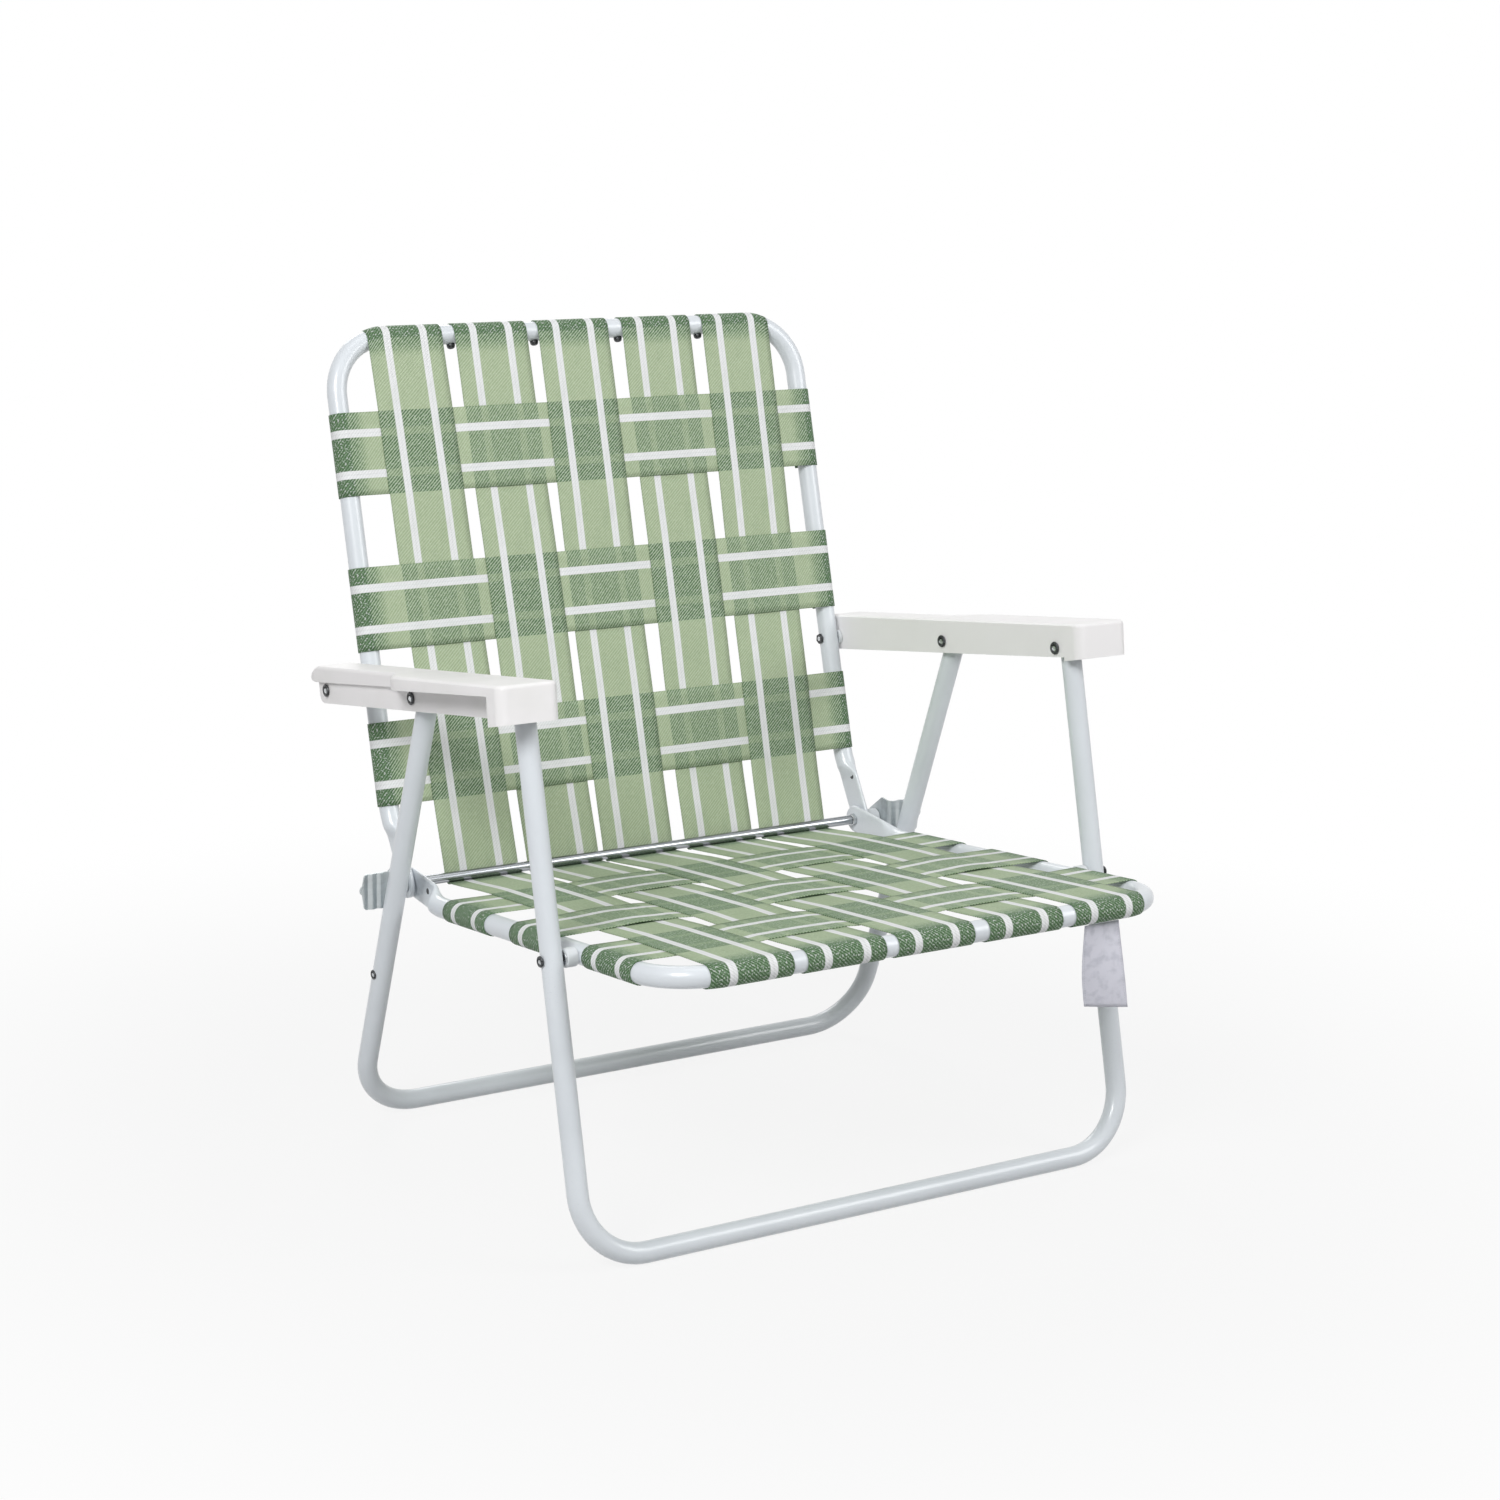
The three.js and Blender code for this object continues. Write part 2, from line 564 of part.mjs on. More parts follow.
// Outline of an armrest seen from above, drawn inwards by a margin. Y runs to the rear from the pivot
// on the back.
function armOutline(frontY, margin) {
  const inner = ARM_INNER_X + margin;
  const narrow = ARM_NARROW_X - margin;
  const wide = ARM_WIDE_X - margin;
  const front = frontY + margin;
  const tip = ARM_TIP_PAST_PIVOT - margin;
  const jogMiddle = -(ARM_JOG_START + ARM_JOG_END) / 2;
  const round = ARM_CORNER - margin;
  const tipRound = ARM_TIP_ROUND - margin;
  const shape = new THREE.Shape();
  shape.absarc(inner + round, front + round, round, Math.PI, 1.5 * Math.PI);
  shape.lineTo(wide - round, front);
  shape.absarc(wide - round, front + round, round, -Math.PI / 2, 0);
  shape.lineTo(wide, -ARM_JOG_END);
  shape.bezierCurveTo(wide, jogMiddle, narrow, jogMiddle, narrow, -ARM_JOG_START);
  shape.lineTo(narrow, tip - tipRound);
  shape.absarc(narrow - tipRound, tip - tipRound, tipRound, 0, Math.PI / 2);
  shape.absarc(inner + tipRound, tip - tipRound, tipRound, Math.PI / 2, Math.PI);
  return shape;
}

// Side outline of the armrest's channel: a little less deep in front, with its lower rear corner
// rounded. With a margin it is the channel's inside, which is open below.
function armSide(frontY, margin) {
  const rear = ARM_FLANGE_PAST_PIVOT - margin;
  const low = ARM_BOTTOM_REAR - 2 * margin;
  const high = ARM_TOP - Math.max(margin, ARM_EDGE_ROUND / 2);
  const shape = new THREE.Shape();
  shape.moveTo(frontY + margin, ARM_BOTTOM_FRONT - 2 * margin);
  shape.lineTo(rear - ARM_FLANGE_ROUND, low);
  shape.quadraticCurveTo(rear, low, rear, low + ARM_FLANGE_ROUND);
  shape.lineTo(rear, high);
  shape.lineTo(frontY + margin, high);
  return shape;
}

function upright(shape, fromZ, toZ, options = {}) {
  const settings = { depth: toZ - fromZ, bevelEnabled: false, curveSegments: CURVE_STEPS };
  return new THREE.ExtrudeGeometry(shape, { ...settings, ...options }).translate(0, 0, fromZ);
}

function armrest(frontY, pivots) {
  const roof = upright(armOutline(frontY, 0), 0, ARM_TOP - ARM_EDGE_ROUND, {
    bevelEnabled: true,
    bevelThickness: ARM_EDGE_ROUND,
    bevelSize: ARM_EDGE_ROUND,
    bevelOffset: -ARM_EDGE_ROUND,
    bevelSegments: ARM_EDGE_STEPS,
  });
  const profile = new THREE.Shape();
  profile.moveTo(frontY - ARM_WALL, ARM_LIP_FRONT);
  profile.lineTo(ARM_TIP_PAST_PIVOT - ARM_NOSE_UNDER, ARM_LIP_REAR);
  profile.quadraticCurveTo(ARM_TIP_PAST_PIVOT, ARM_LIP_REAR, ARM_TIP_PAST_PIVOT, ARM_NOSE_Z);
  const noseTop = ARM_TOP + ARM_WALL;
  profile.quadraticCurveTo(ARM_TIP_PAST_PIVOT, noseTop, ARM_TIP_PAST_PIVOT - ARM_NOSE_LENGTH, noseTop);
  profile.lineTo(frontY - ARM_WALL, noseTop);
  const channel = prismX(armSide(frontY + ARM_CORNER, 0), ARM_INNER_X, ARM_CHANNEL_OUTER_X);
  const skirtSide = new THREE.Shape();
  skirtSide.moveTo(frontY - ARM_WALL, ARM_SKIRT_FRONT);
  skirtSide.lineTo(frontY + ARM_SKIRT_LENGTH, ARM_SKIRT_REAR);
  skirtSide.lineTo(frontY + ARM_SKIRT_LENGTH, ARM_TOP - ARM_EDGE_ROUND);
  skirtSide.lineTo(frontY - ARM_WALL, ARM_TOP - ARM_EDGE_ROUND);
  const acrossX = [ARM_INNER_X - ARM_WALL, ARM_WIDE_X + ARM_WALL];
  const skirt = common(upright(armOutline(frontY, 0), -ARM_TOP, ARM_TOP), prismX(skirtSide, ...acrossX));
  const body = join(common(roof, prismX(profile, ...acrossX)), channel, skirt);

  const insideX = [ARM_INNER_X + ARM_WALL, ARM_CHANNEL_OUTER_X - ARM_WALL];
  const channelInside = prismX(armSide(frontY, ARM_WALL), ...insideX);
  const wingZone = new THREE.BoxGeometry(FAR, FAR, FAR);
  wingZone.translate(ARM_CHANNEL_OUTER_X + FAR / 2, -ARM_JOG_END - FAR / 2, 0);
  const hollow = upright(armOutline(frontY, ARM_WALL), -ARM_TOP, ARM_TOP - ARM_WALL);
  const wingInside = common(hollow, wingZone);
  const holes = pivots.map(({ y, z }) => bar(BOLT_HOLE_D, ARM_INNER_X - ARM_WALL, ARM_NARROW_X, y, z));
  return cut(body, channelInside, wingInside, ...holes);
}

// A pin with a flat round head on each flange of the armrest
function armPin({ y, z }) {
  const [shank, head] = [BOLT_D / 2, BOLT_HEAD_D / 2];
  const innerX = ARM_INNER_X - GAP;
  const outerX = ARM_CHANNEL_OUTER_X + GAP;
  return turned([
    [0, innerX - BOLT_HEAD_THICKNESS],
    [head, innerX - BOLT_HEAD_THICKNESS],
    [head, innerX],
    [shank, innerX],
    [shank, outerX],
    [head, outerX],
    [head, outerX + BOLT_HEAD_THICKNESS],
    [0, outerX + BOLT_HEAD_THICKNESS],
  ], y, z);
}

function addArmrests() {
  const rearPivot = arms.worldToLocal(armRear.clone());
  const frontPivot = arms.worldToLocal(armFront.clone());
  const backPivot = point(0, 0, 0);
  const frontY = frontPivot.y - ARM_FRONT_PAST_PIVOT;
  addPair(arms, 'armrest', armrest(frontY, [backPivot, rearPivot, frontPivot]), 'plastic');
  addPair(arms, 'arm_rear_pin', armPin(rearPivot), 'zinc');
  addPair(arms, 'arm_front_pin', armPin(frontPivot), 'zinc');
  const nutX = BACK_X - TUBE_R - GAP - NUT_THICKNESS;
  const bolt = headedBolt(nutX - BOLT_PAST_NUT, ARM_CHANNEL_OUTER_X + GAP, 0, 0);
  addPair(arms, 'arm_back_bolt', bolt, 'zinc');
  addPair(arms, 'arm_back_nut', hexNut(nutX, 0, 0), 'zinc');
  const spacer = ring(WASHER_D, BOLT_HOLE_D, BACK_X + TUBE_R + GAP, ARM_INNER_X - GAP, 0, 0);
  addPair(arms, 'arm_back_spacer', spacer, 'nylon');
}

// Side view of a strap's end as [run, height]: a tail under the bar, then round its outer side to its top
function wrapRound(barAt, outward) {
  const corners = countTo(TUBE_SIDES / 2).map((i) => {
    const angle = (i + 0.5) * FACET - Math.PI / 2;
    return [barAt + outward * WRAP_R * Math.cos(angle), WRAP_R * Math.sin(angle)];
  });
  return [[barAt - outward * STRAP_TAIL, -STRAP_LIFT], ...corners];
}

// Flat stretches over or under each strap that is crossed
function weave(crossings, isOver) {
  return crossings.flatMap((at, i) => {
    const height = STRAP_LIFT + (isOver(i) ? WEAVE_RISE : -WEAVE_RISE);
    return [[at - WEBBING_WIDTH / 2, height], [at + WEBBING_WIDTH / 2, height]];
  });
}

// The webbing of the seat or the back, with its cross straps at the given rows. Face is the side of
// the frame that the sitter meets. The long straps lean together towards the rod.
function addWebbing(frame, name, halfWidth, face, rows, longEnd) {
  const section = flatSection(WEBBING_WIDTH, WEBBING_THICKNESS);
  const leans = LONG_AT_BAR.map((x, i) => (LONG_AT_ROD[i] - x) / longEnd[0]);
  LONG_AT_BAR.forEach((x, i) => {
    const run = [...wrapRound(0, -1), ...weave(rows, (row) => (row + i) % 2 === 0), longEnd];
    const corners = run.map(([y, height]) => corner(point(x, y, face * height)));
    const path = new BentPath(corners, point(1, 0, 0));
    const lean = new THREE.Matrix4().makeShear(0, 0, leans[i], 0, 0, 0);
    add(frame, `${name}_long_strap_${i + 1}`, sweep(path, section).applyMatrix4(lean), 'webbing');
  });
  rows.forEach((y, row) => {
    const columns = LONG_AT_BAR.map((x, i) => x + leans[i] * y);
    const woven = weave(columns, (i) => (row + i) % 2 !== 0);
    const run = [...wrapRound(-halfWidth, -1), ...woven, ...wrapRound(halfWidth, 1).reverse()];
    const corners = run.map(([x, height]) => corner(point(x, y, face * height)));
    const path = new BentPath(corners, point(0, 1, 0));
    add(frame, `${name}_cross_strap_${row + 1}`, sweep(path, section), 'webbing');
  });
}

// The cross straps keep clear of the pivots on the side tubes. The long straps run on round the rod:
// the seat's leave it below, the back's come down behind it.
function addAllWebbing() {
  const onSeat = seat.worldToLocal(hinge.position.clone());
  const seatEnd = [onSeat.y + STRAP_END_AT_ROD, onSeat.z - ROD_D / 2 - GAP - WEBBING_THICKNESS / 2];
  const seatRows = [
    linkOnSeat.y - SEAT_CROSS_BEFORE_LINK,
    linkOnSeat.y + SEAT_CROSS_PAST_LINK,
    onSeat.y - SEAT_REAR_BEND_BEFORE_HINGE - SEAT_CROSS_BEFORE_BEND,
  ];
  addWebbing(seat, 'seat', SEAT_X, 1, seatRows, seatEnd);
  const onBack = back.worldToLocal(hinge.position.clone());
  const backEnd = [onBack.y - STRAP_END_AT_ROD, STRAP_LIFT];
  const aboveArm = backArmDown - BACK_CROSS_ABOVE_ARM;
  const backRows = [
    aboveArm / 2 - BACK_CROSS_ABOVE_MIDDLE,
    aboveArm,
    backArmDown + BACK_CROSS_BELOW_ARM,
  ];
  addWebbing(back, 'back', BACK_X, -1, backRows, backEnd);
}

function addTag() {
  const top = SEAT_FRONT_Z - WRAP_R - WEBBING_THICKNESS - GAP;
  const path = new BentPath([
    corner(point(TAG_X, SEAT_FRONT_Y, top)),
    corner(point(TAG_X, SEAT_FRONT_Y - TAG_BOW, top - TAG_LENGTH / 2), TAG_BOW_RADIUS),
    corner(point(TAG_X, SEAT_FRONT_Y, top - TAG_LENGTH)),
  ], point(1, 0, 0));
  add(chair, 'blank_tag', sweep(path, flatSection(TAG_WIDTH, TAG_THICKNESS)), 'cloth');
}

addLegs();
addSeatAndBackFrames();
addHinge();
addSeatLinks();
addArmrests();
addAllWebbing();
addTag();

// Origin on the floor under the middle of the chair's box
const size = new THREE.Box3().setFromObject(chair, true);
chair.position.y = -size.getCenter(new THREE.Vector3()).y;

export default chair;
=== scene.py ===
"""Folding lawn chair with woven webbing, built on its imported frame."""
import math
from functools import partialmethod
from typing import NamedTuple

import bmesh
import bpy
from bpy.props import FloatProperty, FloatVectorProperty, PointerProperty
from mathutils import Matrix, Vector


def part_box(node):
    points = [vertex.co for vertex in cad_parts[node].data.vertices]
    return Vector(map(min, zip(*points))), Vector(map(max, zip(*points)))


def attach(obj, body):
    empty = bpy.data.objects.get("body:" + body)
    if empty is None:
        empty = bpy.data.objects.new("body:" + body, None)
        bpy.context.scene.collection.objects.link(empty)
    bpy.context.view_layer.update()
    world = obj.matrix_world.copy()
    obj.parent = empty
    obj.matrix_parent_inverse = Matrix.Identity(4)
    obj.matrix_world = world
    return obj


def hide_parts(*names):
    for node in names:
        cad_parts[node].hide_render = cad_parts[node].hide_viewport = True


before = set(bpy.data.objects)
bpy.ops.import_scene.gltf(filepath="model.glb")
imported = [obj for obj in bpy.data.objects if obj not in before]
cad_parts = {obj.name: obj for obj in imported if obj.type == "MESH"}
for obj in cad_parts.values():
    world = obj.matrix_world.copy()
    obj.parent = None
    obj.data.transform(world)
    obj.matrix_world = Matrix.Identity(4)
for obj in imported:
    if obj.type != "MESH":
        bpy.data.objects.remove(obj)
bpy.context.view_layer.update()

bl_info = {
    "name": "Folding lawn chair",
    "version": (1, 0, 0),
    "blender": (4, 5, 0),
    "location": "View3D > Sidebar > Lawn chair",
    "description": "Makes a folding lawn chair of bent tube with woven webbing",
    "category": "Object",
}

SIDES = {"left": -1, "right": 1}


def placing(y, z, turn):
    """Where a frame stands: its own place in the row frame, turned about X in degrees."""
    return Matrix.Translation((0, y, z)) @ Matrix.Rotation(math.radians(turn), 4, "X")


class Hinged(NamedTuple):
    """A tube frame that turns on the hinge rod, and how it is woven."""
    place: Matrix
    half: float  # middle to a side tube
    bend: float
    knee: float  # hinge to the bend of a side tube
    plate_x: float  # middle to a pressed plate
    eyelet: tuple  # Y and Z in the plate
    face: int  # the webbing's side along Z
    rows: tuple  # Y of the cross straps
    crowns: tuple  # their arch over the long straps
    laps: tuple  # shade: single, long doubled, cross doubled
    rod_end: float  # end of the long straps round the rod, in degrees
    # Painted shade: with shaded set, the webbing darkens towards the rod.
    shaded: bool  # darker towards the rod


# Seat: Y runs back to the hinge. Back: Y runs down to it. Legs: Z runs up.
# The laps are painted light and shade: the back's single straps are lighter than the seat's, as if lit
# through from behind, and doubled cross straps are lighter than doubled long ones.
HINGED = {
    "seat": Hinged(
        place=placing(-0.313861, 0.2754, -5.66), half=0.2598, bend=0.052, knee=0.066, plate_x=0.254,
        eyelet=(0.4387, 0.0098), face=1, rows=(0.0886, 0.2157, 0.3428), crowns=(0.0005, 0.0014, 0.0006),
        laps=(0.21, 1.08, 0.68), rod_end=8, shaded=True),
    "back": Hinged(
        place=placing(0.313839, 0.7366, -105.5), half=0.26075, bend=0.055, knee=0.070, plate_x=0.26075,
        eyelet=(0.4744, -0.0142), face=-1, rows=(0.1114, 0.2581, 0.4048), crowns=(0.0004, 0.0004, 0.0004),
        laps=(0.0, 1.0, 0.62), rod_end=-4, shaded=False),
}
HINGE = Vector((0, 0.157339, 0.242))
FRONT_LEGS = placing(-0.235661, 0.0095, -13.7)
REAR_LEGS = placing(0.199839, 0.0095, 19.0)
FRONT_LEG_TOP, REAR_LEG_TOP = 0.48544, 0.47359
LEG_X, LEG_BEND, LEG_BORE = 0.2918, 0.060, 0.034

# Tube ends pressed into plates, with loops across the plate and its fade into round tube
KNEE_BEND, KNEE_CLEAR = 0.060, 0.05
PLATE_REACH, PLATE_TIP, PLATE_FLAT, PLATE_FADE, PLATE_ROUND = 0.014, 0.0001, 0.042, 0.060, 0.5
PLATE_LOOPS = (-0.0135, -0.0125, -0.011, -0.009, -0.0065, -0.0035, 0, 0.012, 0.027)
FADE_STEPS = 10

# Armrests' noses
NOSE_DRAWN_FROM, NOSE_DRAWN, NOSE_DROP = 0.0115, 0.0043, 0.0032
NOSE_HALF, NOSE_CORNER, NOSE_ROUND, NOSE_THIN = 0.0174, 0.0053, 0.0125, 0.2
NOSE_TIP, NOSE_CUTS = 0.0005, 12
CHANNEL_X, CHANNEL_END = 0.3095, 0.0120

# Webbing
COLUMNS_AT_BAR = (-0.187, -0.094, -0.002, 0.0935, 0.1875)
COLUMNS_AT_ROD = (-0.1775, -0.088, -0.003, 0.091, 0.1795)
STRAP_GAP, STRAP_TAIL, STRAP_COLUMNS = 0.0003, 0.008, 12
STATION_PITCH, CROSSING_EDGE, BAR_STEPS, ROD_STEPS = 0.006, 0.0004, 20, 12
# Painted shade: a strap over a tube takes BACKED_LAP, fading over BAR_SHADE where it leaves a bar.
BACKED_LAP, BAR_SHADE, DROOP_FADE, STRIPE_BLUR = 1.25, 0.022, 0.045, 0.0004

# Fasteners
HEAD_RADIUS, LINK_HEAD_RADIUS, SHANK_RADIUS = 0.006, 0.005, 0.003
RING_BORE, COLLAR_RADIUS, BUSH_RADIUS = 0.0033, 0.007, 0.0085
ARM_NUT_FLATS, THIN_NUT, BACK_GRIP = 0.0095, 0.0022, 0.058
HINGE_NUT_FLATS, NUT_EASE, NUT_RIM, NUT_SUNK = 0.011, 0.0005, 0.0013, 0.0003
ROD_RADIUS, ROD_HEAD_RADIUS, ROD_HEAD, ROD_STUD = 0.00475, 0.0055, 0.0030, 0.0369
SCREW_RADIUS, SCREW_HEIGHT, SCREW_SUNK, SCREW_NECK = 0.0032, 0.0012, 0.0008, 0.9
SCREW_INSET, SCREW_OFFSETS = 0.0045, (-0.022, 0.022)
TOP_SCREW_RADIUS, TOP_SCREW_HEIGHT, TOP_SCREW_GAP = 0.0042, 0.0048, 0.0005
RIVET_AT, RIVET_RADIUS, RIVET_PROUD, RIVET_SUNK = 0.160, 0.0046, 0.0012, 0.0011
EYELET_RADIUS, SHEET_EASE = 0.0029, 0.0004

# Heads from the middle outwards: depth and share of the radius. A pan has shares of its height and radius.
RIM = ((0.0018, 0), (0.0018, 0.42), (0.0006, 0.55), (0, 0.76), (0.0004, 0.93), (0.0012, 1), (0.0019, 0.95))
# DISH_DROP sets the bright insert lower by that share of the radius: painted light where it falls inside
# the hollow.
RIM_DEPTH, DISH_DROP = 0.0023, 0.16
DISH = ((0.0015, 0), (0.0014, 0.25), (0.0007, 0.5), (0.0017, 0.43), (0.0017, 0))
PAN = ((0, 0.94), (0.12, 1), (0.45, 0.97), (0.78, 0.80), (0.95, 0.45), (1, 0))

# Tag
TAG_SHARE, TAG_EXTRA, TAG_THICK, TAG_TURN, TAG_HEM = 0.91, 0.004, 0.0004, 31, 0.0175
TAG_SIDE, TAG_DRIFT, TAG_CLEAR, TAG_BOW_X, TAG_BOW_Y = 0.001, 0.010, 0.0006, 0.0028, 0.002
TAG_WAVE, TAG_WAVE_DOWN, TAG_WAVE_ACROSS = 0.0006, 5.2, 90

# Meshes: sides of round parts, angles in degrees, distances at which points are one
TUBE_SIDES, ROUND_SIDES, SMALL_SIDES, SCREW_SIDES = 48, 32, 20, 16
BEND_STEP, SHARP_EDGE, FLAT_EDGE = 5, 30, 0.5
NEAR, TOUCHING, SAME = 1e-5, 1e-6, 1e-7

# Stage: lamps with place, size and power, the floor's glow from near to far, and the camera
LAMPS = {
    "key light": ((-2.2, -1.5, 2.2), 1.3, 62.0), "top light": ((0.2, -0.3, 3.0), 1.8, 11.0),
    "fill light": ((1.9, -2.0, 1.9), 1.6, 32.0), "back light": ((0.6, 2.6, 2.0), 1.6, 24.0)}
LAMPS_AIM = Vector((0, 0, 0.35))
WHITE, WORLD_LIGHT = (1, 1, 1, 1), 0.22
FLOOR_RADIUS, FLOOR_SIDES, FLOOR_GLOW = 9.0, 96, (0.45, 1.3, 0.87, 1.0)
CAMERA_AT = (-1.45080, -2.22112, 0.99141)
CAMERA_YAW, CAMERA_PITCH, CAMERA_ROLL = 0.539427, 0.240805, 0.013032
CAMERA_LENS, CAMERA_SENSOR, CAMERA_SHIFT = 70.306, 36.0, (0.08545, 0.02302)


def measure(name, description, value):
    """A length property."""
    return FloatProperty(name=name, description=description, default=value, unit="LENGTH")


class ChairSizes(bpy.types.PropertyGroup):
    """Sizes of the chair's stock"""
    tube: measure("Tube", "Diameter of the bent tube", 0.019)
    wall: measure("Tube wall", "Wall of the bent tube", 0.0012)
    plate: measure("Plate", "Thickness of the pressed tube ends", 0.004)
    webbing: measure("Webbing", "Width of the webbing", 0.079)
    ply: measure("Webbing ply", "Thickness of the webbing", 0.0008)
    rise: measure("Weave", "Rise of a strap over the one it crosses", 0.0005)
    stripe_at: measure("Stripe place", "From a strap's middle to a stripe's middle", 0.0195)
    stripe: measure("Stripe", "Half the width of a white stripe", 0.0038)
    twill: measure("Twill", "Pitch of the twill lines", 0.0036)
    edge: measure("Moulded edge", "Rounding of the armrests' edges", 0.0016)


def colour(name, description, value):
    """A colour property."""
    return FloatVectorProperty(
        name=name, description=description, default=(*value, 1.0), size=4, min=0, max=1, subtype="COLOR")


class ChairColours(bpy.types.PropertyGroup):
    """Colours of the chair's finishes and its stage"""
    coat: colour("Powder coat", "Tube frames", (0.74, 0.78, 0.82))
    coat_dull: colour("Powder coat, dull", "Dull patches on the tube", (0.69, 0.73, 0.77))
    plastic: colour("Armrest", "Moulded armrests", (0.91, 0.895, 0.90))
    plastic_dull: colour("Armrest, dull", "Dull patches on the armrests", (0.87, 0.86, 0.855))
    nylon: colour("Nylon", "Bushes and spacers", (0.70, 0.72, 0.72))
    # Zinc also colours the bright inserts in the rivet heads, as painted light.
    zinc: colour("Zinc", "Dished rivets and hinge nuts", (0.62, 0.64, 0.65))
    zinc_dark: colour("Zinc, dark", "Dull patches of the zinc", (0.40, 0.42, 0.43))
    # Dark steel also colours the plugs in the plate eyelets, as painted shade of their holes.
    steel: colour("Dark steel", "Screws, pins and nuts", (0.022, 0.023, 0.025))
    steel_worn: colour("Dark steel, worn", "Worn patches of dark steel", (0.10, 0.105, 0.11))
    galvanised: colour("Galvanised", "Catch brackets", (0.56, 0.60, 0.61))
    galvanised_dark: colour("Galvanised, dark", "Dark spangle", (0.46, 0.49, 0.50))
    rod: colour("Rod", "Drawn hinge rod", (0.42, 0.44, 0.46))
    rod_dark: colour("Rod, dark", "Dark streaks of the hinge rod", (0.14, 0.15, 0.16))
    # The webbing's single, doubled and backed greens are painted light and shade: light through a single
    # strap, less through two, none through a strap over a tube.
    single: colour("Webbing, single", "A strap on its own", (0.44, 0.535, 0.345))
    double: colour("Webbing, doubled", "A strap over another", (0.155, 0.278, 0.138))
    backed: colour("Webbing, backed", "A strap over tube", (0.118, 0.220, 0.114))
    hollow: colour("Webbing, hollows", "Shade between the threads", (0.055, 0.105, 0.045))
    # The stripe white also paints the webbing's sparkle highlights.
    stripe: colour("Stripe", "White stripes", (0.87, 0.875, 0.89))
    stripe_grey: colour("Stripe, grey", "Grey line in a stripe", (0.48, 0.51, 0.49))
    # Painted highlight on the crests of the threads.
    glint: colour("Glint", "Bright threads of the webbing", (0.68, 0.75, 0.60))
    cloth: colour("Tag", "Bare cloth tag", (0.72, 0.72, 0.80))
    # Painted shade for the tag's creases, also the colour of its stitches.
    cloth_shade_and_stitch: colour("Tag, dull", "Creases of the tag", (0.46, 0.47, 0.54))
    floor: colour("Floor", "Floor of the stage", (0.55, 0.55, 0.55))


def join(place, value):
    """Links a value to a socket, or sets the socket to it."""
    if isinstance(value, Thread):
        place.id_data.links.new(value.socket, place)
    else:
        place.default_value = value


class Thread:
    """A value that changes over a surface. Arithmetic on it adds Math nodes."""

    def __init__(self, socket):
        self.socket = socket

    def operate(self, operation, other=0.0, swapped=False):
        node = self.socket.id_data.nodes.new("ShaderNodeMath")
        node.operation = operation
        for place, value in zip(node.inputs, (other, self) if swapped else (self, other)):
            join(place, value)
        return Thread(node.outputs[0])

    __add__ = __radd__ = partialmethod(operate, "ADD")
    __sub__ = partialmethod(operate, "SUBTRACT")
    __rsub__ = partialmethod(operate, "SUBTRACT", swapped=True)
    __mul__ = __rmul__ = partialmethod(operate, "MULTIPLY")
    __truediv__ = partialmethod(operate, "DIVIDE")
    __rtruediv__ = partialmethod(operate, "DIVIDE", swapped=True)
    __abs__ = partialmethod(operate, "ABSOLUTE")

    def sine(self, pitch):
        """A sine wave of that pitch along the value."""
        return (self * (2 * math.pi / pitch)).operate("SINE")


def shown(sockets, name):
    """The socket of that name which the node's settings leave in use."""
    return next(s for s in sockets if s.name == name and s.enabled)


class Finish:
    """The nodes of a material or a world under work."""

    def __init__(self, block):
        block.use_nodes = True
        self.block = block
        self.nodes = block.node_tree.nodes

    def node(self, kind, settings, sockets, output):
        """Adds any node: its settings first, then its sockets. Gives the output of that name."""
        made = self.nodes.new("ShaderNode" + kind)
        for key, value in settings.items():
            setattr(made, key, value)
        for key, value in sockets.items():
            join(shown(made.inputs, key), value)
        return Thread(shown(made.outputs, output))

    def place(self):
        return self.node("TexCoord", {}, {}, "Object")

    def stretched(self, place, scale):
        return self.node("Mapping", {}, {"Vector": place, "Scale": scale}, "Vector")

    def attribute(self, name):
        return self.node("Attribute", {"attribute_name": name}, {}, "Fac")

    def noise(self, place, scale, detail=2.0):
        return self.node("TexNoise", {}, {"Vector": place, "Scale": scale, "Detail": detail}, "Fac")

    def ramp(self, value, low, high, start=0.0, end=1.0):
        """Smooth change from start to end as the value goes from low to high."""
        return self.node("MapRange", {"interpolation_type": "SMOOTHSTEP"}, {
            "Value": value, "From Min": low, "From Max": high, "To Min": start, "To Max": end}, "Result")

    def mix(self, first, second, share):
        """Colour between two colours."""
        return self.node(
            "Mix", {"data_type": "RGBA"}, {"Factor": share, "A": first, "B": second}, "Result")

    def bump(self, height, strength, distance):
        return self.node(
            "Bump", {}, {"Height": height, "Strength": strength, "Distance": distance}, "Normal")

    def seen(self):
        """1 for rays that look at the background, from the camera or off metal."""
        rays = self.node("LightPath", {}, {}, "Is Camera Ray").socket.node.outputs
        camera, glossy, through = (
            Thread(rays[f"Is {kind} Ray"]) for kind in ("Camera", "Glossy", "Transmission"))
        return camera.operate("MAXIMUM", glossy).operate("MAXIMUM", through)

    def done(self, sockets):
        """Sets the surface's sockets and gives the material."""
        for key, value in sockets.items():
            join(self.nodes["Principled BSDF"].inputs[key], value)
        return self.block

    def overlaid(self, first, second, share, output):
        """Shows a share of a second shader over the first and gives the material or world."""
        mixed = self.node("MixShader", {}, {"Fac": share}, "Shader")
        _, *places = mixed.socket.node.inputs
        for place, shader in zip(places, (first, second)):
            join(place, shader)
        join(self.nodes[output].inputs["Surface"], mixed)
        return self.block


